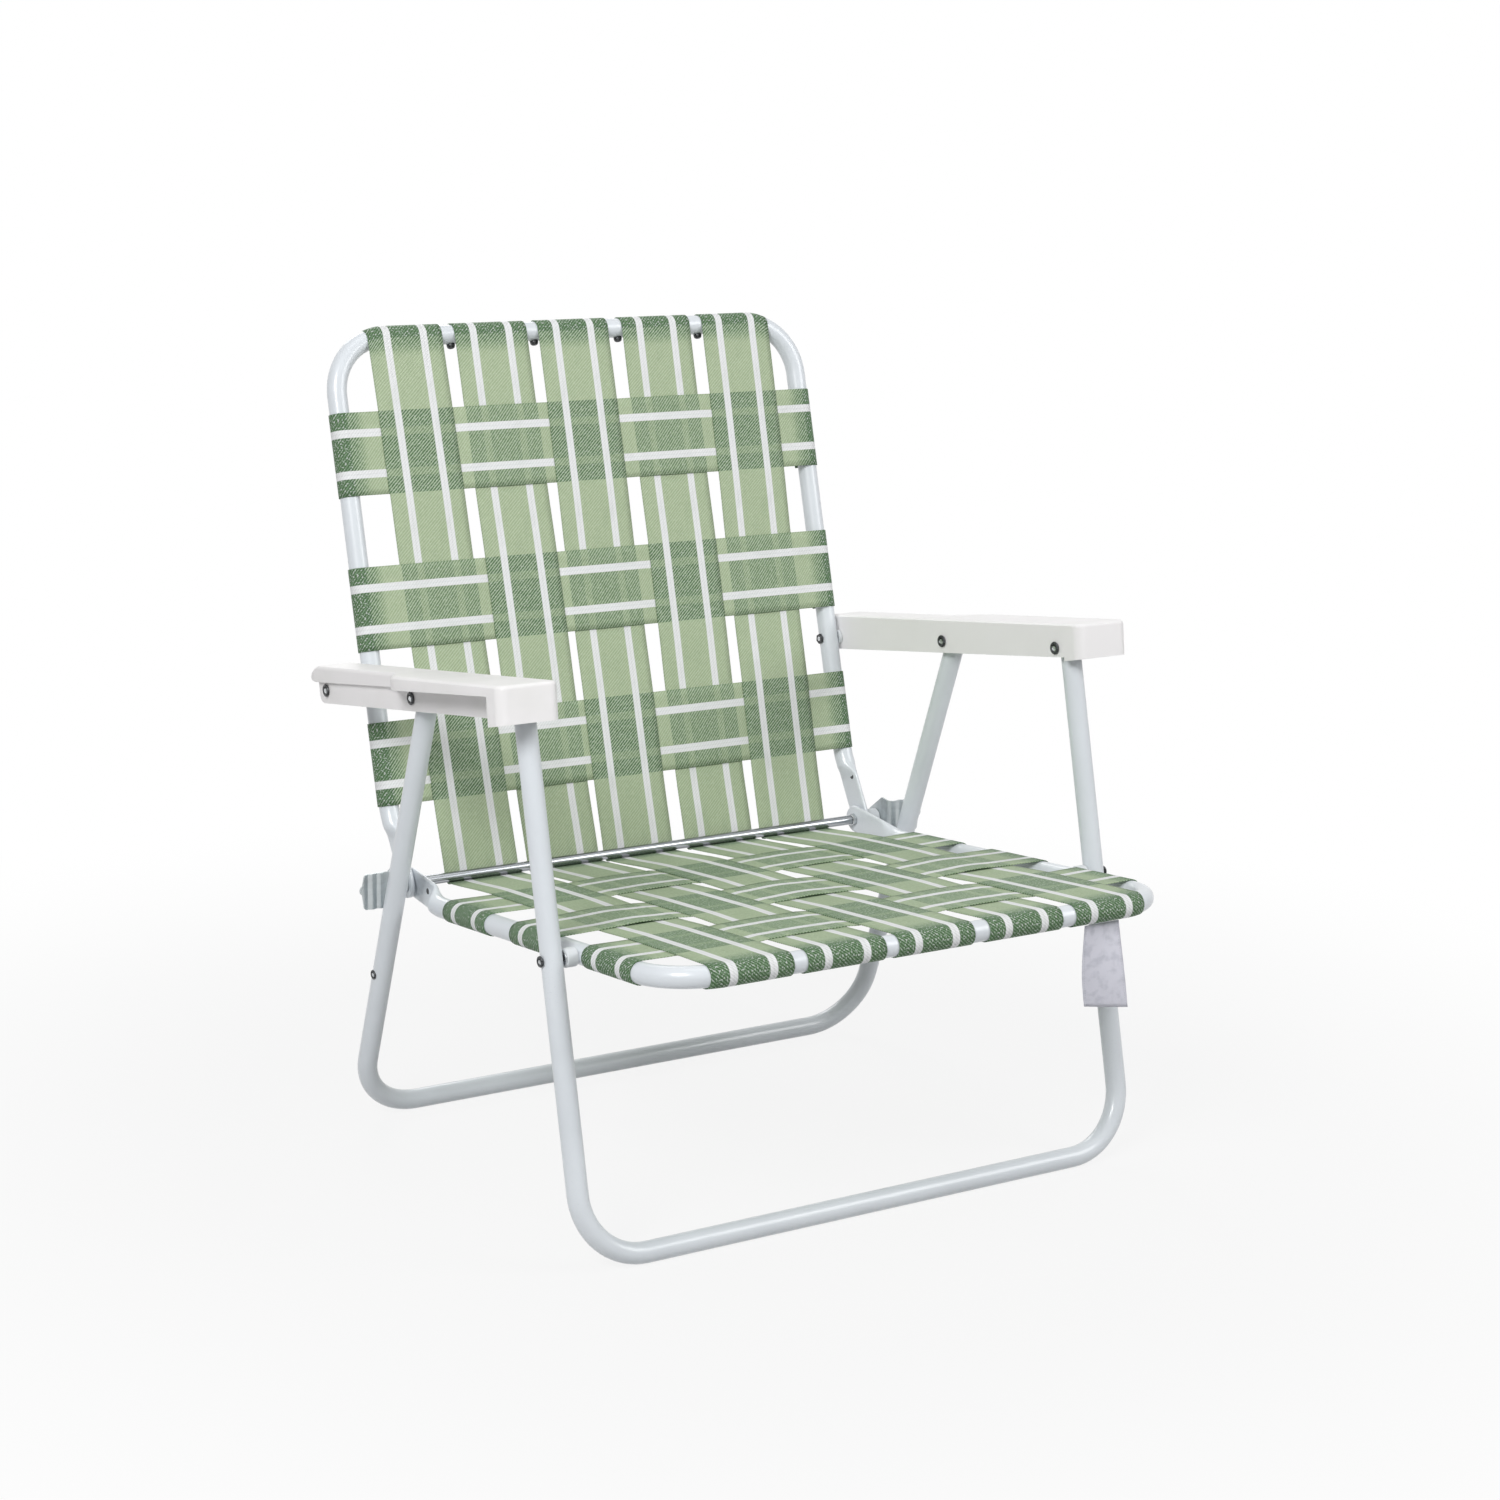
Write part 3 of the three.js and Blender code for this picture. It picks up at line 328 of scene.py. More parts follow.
def powder_coat(finish, colours):
    """Baked white paint with a fine orange peel."""
    place = finish.place()
    cloud = finish.noise(place, 11.0, 4.0)
    peel = finish.noise(place, 760.0, 2.0)
    return finish.done({
        "Base Color": finish.mix(colours.coat, colours.coat_dull, finish.ramp(cloud, 0.35, 0.75)),
        "Roughness": finish.ramp(peel, 0.2, 0.8, 0.24, 0.33) + cloud * 0.06,
        "Normal": finish.bump(peel, 0.08, 0.0002),
        "Coat Weight": 0.3,
        "Coat Roughness": 0.08,
    })


def armrest_plastic(finish, colours):
    """Warm white moulded plastic with a faint grain."""
    place = finish.place()
    cloud = finish.noise(place, 16.0, 3.0)
    grain = finish.noise(place, 1500.0, 2.0)
    return finish.done({
        "Base Color": finish.mix(colours.plastic, colours.plastic_dull, finish.ramp(cloud, 0.4, 0.8)),
        "Roughness": finish.ramp(grain, 0.2, 0.8, 0.38, 0.5),
        "Normal": finish.bump(grain, 0.12, 0.0001),
        "Specular IOR Level": 0.2,
        "Subsurface Weight": 0.05,
        "Subsurface Radius": (0.004, 0.004, 0.004),
        "Subsurface Scale": 1.0,
    })


def nylon(finish, colours):
    """Dull white nylon."""
    place = finish.place()
    cloud = finish.noise(place, 90.0, 3.0)
    return finish.done({
        "Base Color": finish.mix(colours.nylon, colours.coat_dull, cloud),
        "Roughness": finish.ramp(cloud, 0.3, 0.7, 0.4, 0.55),
        "Normal": finish.bump(finish.noise(place, 1200.0), 0.15, 0.0001),
    })


def metal(finish, light, dark, rough, spangle, flakes, metallic):
    """Plated or rolled metal with a spangle of that scale and share, and fine scratches."""
    place = finish.place()
    cell = finish.node("TexVoronoi", {}, {"Vector": place, "Scale": spangle}, "Color")
    flake = finish.node("SeparateColor", {}, {"Color": cell}, "Red")
    scratch = finish.noise(finish.stretched(place, (60.0, 220.0, 220.0)), 1.0, 3.0)
    share = finish.ramp(flake * flakes + scratch * (1 - flakes), 0.25, 0.85)
    return finish.done({
        "Base Color": finish.mix(light, dark, share),
        "Roughness": rough + share * 0.1,
        "Metallic": metallic,
        "Normal": finish.bump(scratch, 0.06, 0.0001),
    })


def zinc(finish, colours):
    """Bright zinc plate."""
    light, dark = colours.zinc, colours.zinc_dark
    return metal(finish, light, dark, rough=0.2, spangle=700.0, flakes=0.5, metallic=1.0)


def dark_steel(finish, colours):
    """Blackened pins, screws and nuts."""
    light, dark = colours.steel, colours.steel_worn
    return metal(finish, light, dark, rough=0.3, spangle=900.0, flakes=0.5, metallic=0.5)


def galvanised(finish, colours):
    """Galvanised sheet."""
    light, dark = colours.galvanised, colours.galvanised_dark
    return metal(finish, light, dark, rough=0.42, spangle=120.0, flakes=0.1, metallic=0.9)


def drawn_rod(finish, colours):
    """Drawn steel with fine lines along the hinge rod."""
    lines = finish.noise(finish.stretched(finish.place(), (6.0, 700.0, 700.0)), 1.0, 3.0)
    return finish.done({
        "Base Color": finish.mix(colours.rod, colours.rod_dark, finish.ramp(lines, 0.4, 0.75)),
        "Roughness": finish.ramp(lines, 0.3, 0.7, 0.18, 0.28),
        "Metallic": 1.0,
        "Normal": finish.bump(lines, 0.05, 0.0001),
    })


def sage_webbing(finish, colours):
    """Woven webbing: two white stripes, twill lines, and painted shade where it is doubled or backed, with
    painted highlights on its threads.
    """
    sizes = bpy.context.scene.lawnchair_sizes
    across, along = finish.attribute("across"), finish.attribute("along")
    lap, beneath = finish.attribute("lap"), finish.attribute("beneath")

    def from_stripe(value):
        return abs(abs(value) - sizes.stripe_at)

    def stripes(value):
        edges = sizes.stripe - STRIPE_BLUR, sizes.stripe + STRIPE_BLUR
        return finish.ramp(from_stripe(value), *edges, 1, 0)

    def speckle(ends, picks, detail):
        """Noise with its scales across and along the strap."""
        spot = finish.node("CombineXYZ", {}, {"X": across * ends, "Y": along * picks}, "Vector")
        return finish.noise(spot, 1.0, detail)

    twill = (across / sizes.twill + along / (sizes.twill * 0.9)).sine(1.0)
    picks = along.sine(sizes.twill * 0.45)
    threads = across.sine(sizes.twill / 2) * picks
    fibre, grain = speckle(1500.0, 160.0, 3.0), speckle(330.0, 260.0, 2.0)
    drift, speck = speckle(60.0, 25.0, 2.0), speckle(640.0, 520.0, 1.0)
    line = finish.ramp(twill * 0.8 + threads * 0.3 + fibre * 0.9 + grain * 1.8 - 1.35, -0.65, 0.65)

    # Green ground with painted light and shade: darker where doubled or backed, lighter where a white
    # stripe of the strap beneath shows through, with shade between the threads and painted glints and
    # sparkle on them
    doubled = finish.ramp(lap, 0.0, 1.0) * (1 - stripes(beneath) * 0.5)
    backed = finish.ramp(lap, 1.0, BACKED_LAP)
    # Painted highlights: white specks of sparkle in the stripe's white, most where a strap wraps a tube.
    sparkle = finish.ramp(speck + twill * 0.04, 0.56, 0.68)
    sage = finish.mix(colours.single, colours.double, doubled)
    sage = finish.mix(sage, colours.backed, backed)
    sage = finish.mix(sage, colours.hollow, (1 - line) * (0.2 + doubled * 0.50 + backed * 0.05))
    # Painted highlight on the thread crests.
    sage = finish.mix(sage, colours.glint, line * (0.27 + doubled * 0.24 - backed * 0.42))
    sage = finish.mix(sage, colours.stripe, sparkle * (0.08 + doubled * 0.12 + backed * 0.34))

    # White stripes with a grey line
    grey = finish.ramp(from_stripe(across), 0.0002, 0.0008, 0.4, 0.0)
    grey = grey * finish.ramp(picks + fibre, 0.2, 1.4)
    white = finish.mix(colours.stripe, colours.stripe_grey, grey)
    white = finish.mix(white, colours.stripe_grey, finish.ramp(twill, -1.0, 0.2, 0.28, 0.0))

    edge = sizes.webbing / 2
    selvage = finish.ramp(abs(across), edge - 0.0015, edge - 0.0005)
    woven = finish.mix(sage, white, stripes(across))
    woven = finish.mix(woven, colours.double, selvage * 0.15)
    woven = finish.mix(woven, colours.backed, finish.ramp(drift, 0.45, 0.85) * 0.12)
    height = twill * 0.4 + threads * 0.25 + fibre * 0.35 + selvage * 0.8
    return finish.done({
        "Base Color": woven,
        "Roughness": finish.ramp(fibre, 0.25, 0.75, 0.50, 0.66),
        "Normal": finish.bump(height, 0.5, 0.0005),
        "Specular IOR Level": 0.15,
    })


def tag_cloth(finish, colours):
    """Bare white cloth with creases and a stitched hem."""
    across, along = finish.attribute("across"), finish.attribute("along")
    crease = finish.noise(finish.place(), 110.0, 5.0)
    weave = across.sine(0.0007) * along.sine(0.0007)
    hem = finish.ramp(abs(abs(across) - TAG_HEM), 0.0002, 0.0005, 1, 0)
    stitch = hem * finish.ramp(along.sine(0.0024), -0.1, 0.1)
    # Painted shade in the creases, and the stitches of the hem.
    crease_shade_and_stitch = finish.ramp(crease, 0.45, 0.72) * 0.5 + stitch * 0.35
    return finish.done({
        "Base Color": finish.mix(colours.cloth, colours.cloth_shade_and_stitch, crease_shade_and_stitch),
        "Roughness": finish.ramp(crease, 0.3, 0.7, 0.7, 0.85),
        "Normal": finish.bump(crease + weave * 0.04 - stitch * 0.2, 0.5, 0.0012),
    })


FINISHES = {maker.__name__: maker for maker in (
    powder_coat, armrest_plastic, nylon, zinc, dark_steel, galvanised, drawn_rod, sage_webbing, tag_cloth)}


def finish_named(name):
    """The material of that name, made when it is first asked for."""
    title = name + "_finish"
    known = bpy.data.materials.get(title)
    if known is None:
        finish = Finish(bpy.data.materials.new(title))
        known = FINISHES[name](finish, bpy.context.scene.lawnchair_colours)
    return known


def put(name, bm, body, finish, node=None, sharp=35):
    """Makes a bmesh a finished piece that rides on a body, in a node's place."""
    mesh = bpy.data.meshes.new(name)
    bm.to_mesh(mesh)
    bm.free()
    mesh.polygons.foreach_set("use_smooth", [True] * len(mesh.polygons))
    mesh.set_sharp_from_angle(angle=math.radians(sharp))
    mesh.materials.append(finish_named(finish))
    piece = bpy.data.objects.new(name, mesh)
    bpy.context.scene.collection.objects.link(piece)
    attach(piece, body)
    if node:
        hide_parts(node)
    return piece


def thicken(piece, thickness):
    """Gives a sheet its thickness, half to each side."""
    ply = piece.modifiers.new("ply", "SOLIDIFY")
    ply.thickness = thickness
    ply.offset = 0.0


def clamp(value, low=0.0, high=1.0):
    return max(low, min(high, value))


def smooth(share):
    """A share that starts and ends level."""
    return share * share * (3 - 2 * share)


def grow(bm, edges, move):
    """Extrudes a row of edges by a move and gives the new row."""
    made = bmesh.ops.extrude_edge_only(bm, edges=edges)["geom"]
    fresh = {g for g in made if isinstance(g, bmesh.types.BMVert)}
    bmesh.ops.translate(bm, vec=move, verts=list(fresh))
    return [g for g in made if isinstance(g, bmesh.types.BMEdge) and fresh.issuperset(g.verts)]


def corners_of(edges):
    return list({vert for edge in edges for vert in edge.verts})


def facing(at, direction, upright="Y"):
    """Place whose Z points in a direction."""
    turn = Vector(direction).to_track_quat("Z", upright).to_matrix().to_4x4()
    return Matrix.Translation(at) @ turn


def set_in(bm, place):
    """Turns a mesh's faces outwards and sets it in its place."""
    bmesh.ops.recalc_face_normals(bm, faces=bm.faces)
    bmesh.ops.transform(bm, matrix=place, verts=bm.verts)
    return bm


def tube_half(corners, radius, stops=()):
    """Half a bent tube through corners of (point, bend), the last at X = 0, and its first ring."""
    bm = bmesh.new()
    at = Vector(corners[0][0])
    ring = bmesh.ops.create_circle(bm, segments=TUBE_SIDES, radius=radius)["verts"]
    bmesh.ops.transform(bm, matrix=facing(at, Vector(corners[1][0]) - at, "X"), verts=ring)
    first = edges = bm.edges[:]
    for index, (corner, bend) in enumerate(corners[1:], 1):
        corner = Vector(corner)
        heading = (corner - at).normalized()
        reach, swing = (corner - at).length, 0.0
        if index + 1 < len(corners):
            leaving = (Vector(corners[index + 1][0]) - corner).normalized()
            swing = heading.angle(leaving)
            reach -= bend * math.tan(swing / 2)
        gone = 0.0
        for stop in (*stops, reach) if index == 1 else (reach,):
            edges = grow(bm, edges, heading * (stop - gone))
            gone = stop
        at = at + heading * reach
        if swing:
            axis = heading.cross(leaving).normalized()
            last = bmesh.ops.spin(
                bm, geom=corners_of(edges) + edges, cent=at + axis.cross(heading) * bend, axis=axis,
                dvec=(0, 0, 0), angle=swing, steps=max(4, round(math.degrees(swing) / BEND_STEP)),
                use_duplicate=False)["geom_last"]
            edges = [g for g in last if isinstance(g, bmesh.types.BMEdge)]
            at = corner + leaving * bend * math.tan(swing / 2)
    return bm, first


def whole_tube(bm, place):
    """Mirrors half a tube and sets it in its place."""
    bmesh.ops.mirror(bm, geom=bm.verts[:] + bm.edges[:] + bm.faces[:], axis="X", merge_dist=NEAR)
    bmesh.ops.remove_doubles(bm, verts=bm.verts, dist=SAME)
    return set_in(bm, place)


def leg_tube(sizes, top, place):
    """A leg frame that is open at its upper ends."""
    radius = sizes.tube / 2
    bm, ring = tube_half([((LEG_X, 0, top), 0), ((LEG_X, 0, 0), LEG_BEND), ((0, 0, 0), 0)], radius)
    lip = grow(bm, ring, (0, 0, 0))
    inner = (radius - sizes.wall) / radius
    centre = Matrix.Translation((-LEG_X, 0, -top))
    bmesh.ops.scale(bm, vec=(inner, inner, 1), space=centre, verts=corners_of(lip))
    bmesh.ops.edgeloop_fill(bm, edges=grow(bm, lip, (0, 0, -LEG_BORE)))
    return whole_tube(bm, place)


def hinged_tube(sizes, part):
    """The seat's or back's frame, with its ends pressed into plates at the hinge."""
    radius = sizes.tube / 2
    tip = part.place.inverted() @ HINGE
    tip.x = part.half
    bent = Vector((part.half, tip.y - part.knee, 0))
    inward = (bent - tip).normalized()
    over, fade = PLATE_REACH - PLATE_TIP, PLATE_FADE - PLATE_FLAT
    depths = [*PLATE_LOOPS, *(PLATE_FLAT + fade * step / FADE_STEPS for step in range(FADE_STEPS + 1))]
    bm, ring = tube_half(
        [(tip - inward * over, 0), (bent, KNEE_BEND), ((part.half, 0, 0), part.bend), ((0, 0, 0), 0)],
        radius, [depth + over for depth in depths])
    side = Vector((1, 0, 0)).cross(inward)
    for vert in bm.verts:
        off = vert.co - tip
        depth = off.dot(inward)
        if depth > PLATE_FADE or vert.co.y < bent.y - KNEE_CLEAR:
            continue
        share = smooth(clamp((PLATE_FADE - depth) / fade))
        width = math.sqrt(PLATE_REACH ** 2 - min(depth, 0) ** 2)
        pressed = clamp(off.x / radius / PLATE_ROUND, -1, 1) * sizes.plate / 2
        wide = off.dot(side) * width / radius
        vert.co += Vector((1, 0, 0)) * share * (part.plate_x - part.half + pressed - off.x)
        vert.co += side * share * (wide - off.dot(side))
    bmesh.ops.edgeloop_fill(bm, edges=ring)
    return whole_tube(bm, part.place)


def turned(profile, place, sides=ROUND_SIDES):
    """A round part from a profile of (height, radius) about a place's Z."""
    bm = bmesh.new()
    verts = [bm.verts.new((radius, 0, height)) for height, radius in profile]
    edges = [bm.edges.new(pair) for pair in zip(verts, verts[1:])]
    bmesh.ops.spin(
        bm, geom=verts + edges, cent=(0, 0, 0), axis=(0, 0, 1), dvec=(0, 0, 0), angle=2 * math.pi,
        steps=sides, use_merge=True, use_duplicate=False)
    bmesh.ops.remove_doubles(bm, verts=bm.verts, dist=TOUCHING)
    bmesh.ops.dissolve_degenerate(bm, dist=SAME, edges=bm.edges)
    return set_in(bm, place)


def added(parts):
    """Several bmeshes as one."""
    whole = bmesh.new()
    for part in parts:
        mesh = bpy.data.meshes.new("part")
        part.to_mesh(mesh)
        part.free()
        whole.from_mesh(mesh)
        bpy.data.meshes.remove(mesh)
    return whole


def outward(node, sign):
    """Place on a node's axis at its inner end, with Z out of the chair, and the node's length."""
    low, high = (Vector(corner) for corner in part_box(node))
    middle = (low + high) / 2
    middle.x = low.x if sign > 0 else high.x
    return facing(middle, (sign, 0, 0)), high.x - low.x


def put_ring(name, node, sign, body, finish, radius, ease):
    """A spacer, washer or bush with eased corners."""
    place, length = outward(node, sign)
    profile = [
        (0, RING_BORE), (0, radius - ease), (ease, radius), (length - ease, radius),
        (length, radius - ease), (length, RING_BORE), (0, RING_BORE)]
    put(name, turned(profile, place), body, finish, node)


def rolled_rim(end, inward, radius):
    """Profile of a rolled rivet head, from the middle of its hollow to its shank."""
    rim = [(end + inward * depth, radius * share) for depth, share in RIM]
    return [*rim, (end + inward * RIM_DEPTH, SHANK_RADIUS)]


def riveted(start, end, radius):
    """Profile of a shank from its start to a rolled head at its outer end."""
    return start + rolled_rim(end, -1, radius)[::-1]


def lit_dish(place, end, inward, radius):
    """A bright zinc bowl set low in a rolled rivet head's hollow: painted light where it falls on the
    lower inner wall.
    """
    profile = [(end + inward * depth, radius * share) for depth, share in DISH]
    return turned(profile, Matrix.Translation((0, 0, -radius * DISH_DROP)) @ place, SMALL_SIDES)


def screw(at, direction, radius=SCREW_RADIUS, height=SCREW_HEIGHT):
    """A screw's domed head with the top of its neck."""
    neck = [(-SCREW_SUNK, 0), (-SCREW_SUNK, radius * SCREW_NECK)]
    head = [(height * rise, radius * share) for rise, share in PAN]
    return turned(neck + head, facing(at, direction), SCREW_SIDES)


def eyelet(at, direction):
    """The raised rim of an eyelet, and a dark plug in it as painted shade of its hole."""
    radius, place = EYELET_RADIUS, facing(at, direction)
    rim = [
        (-0.0006, radius), (0.0002, radius), (0.0005, radius + 0.0004), (0.0002, radius + 0.0010),
        (-0.0004, radius + 0.0012)]
    bore_shade = [(-0.0010, 0), (-0.0010, radius), (0.0003, radius), (0.0002, 0)]
    return turned(rim, place, SMALL_SIDES), turned(bore_shade, place, SMALL_SIDES)


def hexagon(place, across_flats, thick):
    """A nut with eased edges."""
    bm = bmesh.new()
    radius = across_flats / math.sqrt(3)
    bmesh.ops.create_cone(bm, cap_ends=True, segments=6, radius1=radius, radius2=radius, depth=thick)
    bmesh.ops.translate(bm, vec=(0, 0, thick / 2), verts=bm.verts)
    bmesh.ops.bevel(
        bm, geom=bm.edges[:], offset=NUT_EASE, offset_type="OFFSET", affect="EDGES", segments=2,
        profile=0.5, material=-1)
    for face in [face for face in bm.faces if abs(face.normal.z) > 0.99]:
        bmesh.ops.inset_individual(bm, faces=[face], thickness=NUT_RIM, depth=0.0)
        bmesh.ops.translate(bm, vec=face.normal * -NUT_SUNK, verts=face.verts)
    bmesh.ops.transform(bm, matrix=place, verts=bm.verts)
    return bm


def solid_copy(node):
    """A merged copy of a CAD node's mesh."""
    bm = bmesh.new()
    bm.from_mesh(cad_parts[node].data)
    bmesh.ops.remove_doubles(bm, verts=bm.verts, dist=TOUCHING)
    bmesh.ops.dissolve_limit(
        bm, angle_limit=math.radians(FLAT_EDGE), use_dissolve_boundaries=False, verts=bm.verts,
        edges=bm.edges)
    return bm


def round_edges(bm, width):
    """Rounds a mesh's sharp edges."""
    sharp = [edge for edge in bm.edges if edge.calc_face_angle(0.0) > math.radians(SHARP_EDGE)]
    bmesh.ops.bevel(
        bm, geom=sharp, offset=width, offset_type="OFFSET", affect="EDGES", segments=3, profile=0.5,
        material=-1, clamp_overlap=True)


def draw_out_nose(bm):
    """Draws the rear end of an armrest out to a thin round nose."""
    tip = max((vert.co for vert in bm.verts), key=lambda co: co.y).copy()
    tip.z -= NOSE_DROP
    ends = [vert.co.x for vert in bm.verts if vert.co.y > tip.y - NOSE_TIP]
    middle = (min(ends) + max(ends)) / 2
    for cut in range(1, NOSE_CUTS + 1):
        bmesh.ops.bisect_plane(
            bm, geom=bm.verts[:] + bm.edges[:] + bm.faces[:], dist=NEAR,
            plane_co=(0, tip.y - (NOSE_CORNER + NOSE_ROUND) * cut / NOSE_CUTS, 0), plane_no=(0, 1, 0))
    for vert in bm.verts:
        back = tip.y - vert.co.y
        lip = vert.co.z > tip.z or abs(vert.co.x) > CHANNEL_X
        if lip or back < CHANNEL_END:
            inside = back - NOSE_CORNER * ((vert.co.x - middle) / NOSE_HALF) ** 2
            share = clamp(inside / NOSE_ROUND)
            height = NOSE_THIN + (1 - NOSE_THIN) * math.sqrt(1 - (1 - share) ** 2)
            vert.co.z = tip.z + (vert.co.z - tip.z) * height
            vert.co.y += NOSE_DRAWN * clamp((NOSE_DRAWN_FROM - back) / (NOSE_DRAWN_FROM - NOSE_CORNER))


def height_at(knots, at):
    """Height of a strap at a place between its knots."""
    for (start, low), (end, high) in zip(knots, knots[1:]):
        if at <= end:
            return low + (high - low) * smooth((at - start) / (end - start))
    return knots[-1][1]


def stations(start, end, crossings, half):
    """Places along a strap: close together, with pairs at the edges of what it crosses."""
    marks = {start, end}
    for crossing in crossings:
        for edge in (crossing - half, crossing + half):
            marks.update((edge - CROSSING_EDGE, edge + CROSSING_EDGE))
    places = [start]
    for mark in sorted(marks)[1:]:
        first = places[-1]
        steps = max(1, math.ceil((mark - first) / STATION_PITCH))
        places += [first + (mark - first) * step / steps for step in range(1, steps + 1)]
    return places


def wrap(centre, radius, start, end, steps):
    """Points of an arc in degrees about a bar."""
    turns = [math.radians(start + (end - start) * step / steps) for step in range(steps + 1)]
    return [(centre[0] + radius * math.cos(turn), centre[1] + radius * math.sin(turn)) for turn in turns]


def strap_lift(sizes):
    """From a tube's middle to the middle of a strap on it."""
    return sizes.tube / 2 + STRAP_GAP + sizes.ply / 2


def laid_over(sizes, start, end, crossings, over, tail_height, single, full, crown=0.0):
    """Points (along, height, lap, beneath) of a strap's flat run over and under its crossings."""
    half, lift = sizes.webbing / 2, strap_lift(sizes)
    knots = [(start, lift)]
    for crossing, up in zip(crossings, over):
        level = lift + (sizes.rise if up else -sizes.rise)
        middle = level + crown if up else level
        knots += [(crossing - half, level), (crossing, middle), (crossing + half, level)]
    knots.append((end, tail_height))
    run = []
    for at in stations(start, end, crossings, half):
        near = [at - crossing for crossing in crossings if abs(at - crossing) < half]
        run.append((at, height_at(knots, at), full if near else single, near[0] if near else 0.0))
    return run


# Painted shade on a strap where it lies over a bar.
def on_bar(points):
    return [(at, height, BACKED_LAP, 0.0) for at, height in points]


def leave_bar(run, bar, side):
    """Painted shade: darkens a flat run where it leaves the bar."""
    return [
        (at, height, max(lap, BACKED_LAP * (1 - (at - bar) * side / BAR_SHADE)), beneath)
        for at, height, lap, beneath in run]


def round_bar(sizes, bar):
    """A strap's tail under a bar and its way round the bar."""
    lift = strap_lift(sizes)
    tail = [(bar + STRAP_TAIL, -lift), (bar + STRAP_TAIL / 2, -lift)]
    return tail + wrap((bar, 0), lift, -90, -270, BAR_STEPS)[:-1]


def long_path(sizes, part, over, rod, rod_radius):
    """A long strap's path: round the end bar, along the frame, and round the hinge rod."""
    single, full, _ = part.laps
    run = laid_over(sizes, 0.0, rod[0], part.rows, over, rod[1] - rod_radius, single, full)
    run = leave_bar(run, 0.0, 1)
    if part.shaded:
        run = leave_bar(run, rod[0], -1)
    round_rod = wrap(rod, rod_radius, -90, part.rod_end, ROD_STEPS)[1:]
    return on_bar(round_bar(sizes, 0.0)) + run + on_bar(round_rod)


def cross_path(sizes, part, columns, over, crown):
    """A cross strap's path: round one side tube, over the long straps, and round the other."""
    half = part.half
    single, _, full = part.laps
    left = round_bar(sizes, -half)
    right = [(-at, height) for at, height in reversed(left)]
    run = laid_over(sizes, -half, half, columns, over, strap_lift(sizes), single, full, crown)
    return on_bar(left) + leave_bar(leave_bar(run, -half, 1), half, -1) + on_bar(right)


def follow_bend(bm, part):
    """Draws the outer corners of a strap down along the bends at the ends of its bar."""
    for vert in bm.verts:
        past = abs(vert.co.x) - (part.half - part.bend)
        if past > 0 and vert.co.y < DROOP_FADE:
            drop = part.bend - math.sqrt(part.bend ** 2 - past ** 2)
            vert.co.y += drop * smooth(1 - max(0.0, vert.co.y) / DROOP_FADE)


def strap_mesh(path, across, width):
    """Webbing along a path of (point, lap, beneath), its width along one direction."""
    bm = bmesh.new()
    layer = {key: bm.verts.layers.float.new(key) for key in ("across", "along", "lap", "beneath")}
    row = []
    for step in range(STRAP_COLUMNS + 1):
        offset = width * (step / STRAP_COLUMNS - 0.5)
        row.append(bm.verts.new(path[0][0] + across * offset))
        row[-1][layer["across"]] = offset
    edges = [bm.edges.new(pair) for pair in zip(row, row[1:])]
    length = 0.0
    for index, (point, lap, beneath) in enumerate(path):
        if index:
            move = point - path[index - 1][0]
            length += move.length
            edges = grow(bm, edges, move)
        for vert in corners_of(edges):
            vert[layer["along"]], vert[layer["lap"]], vert[layer["beneath"]] = length, lap, beneath
    bmesh.ops.recalc_face_normals(bm, faces=bm.faces)
    return bm, length


def hang_strap(sizes, kind, run, number, points, across):
    """A strap of webbing on the seat or the back, as a sheet that rides on it."""
    part = HINGED[kind]
    path = [(Vector((x, y, height * part.face)), lap, beneath) for x, y, height, lap, beneath in points]
    bm, length = strap_mesh(path, Vector(across), sizes.webbing)
    if run == "long":
        follow_bend(bm, part)
    bmesh.ops.transform(bm, matrix=part.place, verts=bm.verts)
    name, node = f"{kind}_{run}_webbing_{number}", f"{kind}_{run}_strap_{number}"
    piece = put(name, bm, kind, "sage_webbing", node, sharp=60)
    thicken(piece, sizes.ply)


def web_frame(sizes, kind, rod_radius):
    """All straps of the seat or the back, the long ones at that radius round the rod."""
    part = HINGED[kind]
    rod = part.place.inverted() @ HINGE
    leans = [(end - start) / rod.y for start, end in zip(COLUMNS_AT_BAR, COLUMNS_AT_ROD)]
    for column, (x, lean) in enumerate(zip(COLUMNS_AT_BAR, leans)):
        over = [(column + row) % 2 == 0 for row in range(len(part.rows))]
        path = long_path(sizes, part, over, (rod.y, rod.z * part.face), rod_radius)
        points = [(x + lean * y, y, *rest) for y, *rest in path]
        hang_strap(sizes, kind, "long", column + 1, points, (1, 0, 0))
    for row, (y, crown) in enumerate(zip(part.rows, part.crowns)):
        columns = [x + lean * y for x, lean in zip(COLUMNS_AT_BAR, leans)]
        over = [(column + row) % 2 == 1 for column in range(len(columns))]
        points = [(x, y, *rest) for x, *rest in cross_path(sizes, part, columns, over, crown)]
        hang_strap(sizes, kind, "cross", row + 1, points, (0, 1, 0))


class LAWNCHAIR_OT_tubes(bpy.types.Operator):
    """Bend the tube of the legs, the seat and the back"""
    bl_idname = "lawnchair.tubes"
    bl_label = "Tube frames"

    def execute(self, context):
        sizes = context.scene.lawnchair_sizes
        for end, top, place in (("front", FRONT_LEG_TOP, FRONT_LEGS), ("rear", REAR_LEG_TOP, REAR_LEGS)):
            legs = leg_tube(sizes, top, place)
            put(f"{end}_leg_tube", legs, f"{end}_legs", "powder_coat", f"{end}_leg_frame")
        for kind, part in HINGED.items():
            put(f"{kind}_tube", hinged_tube(sizes, part), kind, "powder_coat", f"{kind}_frame")
        return {"FINISHED"}


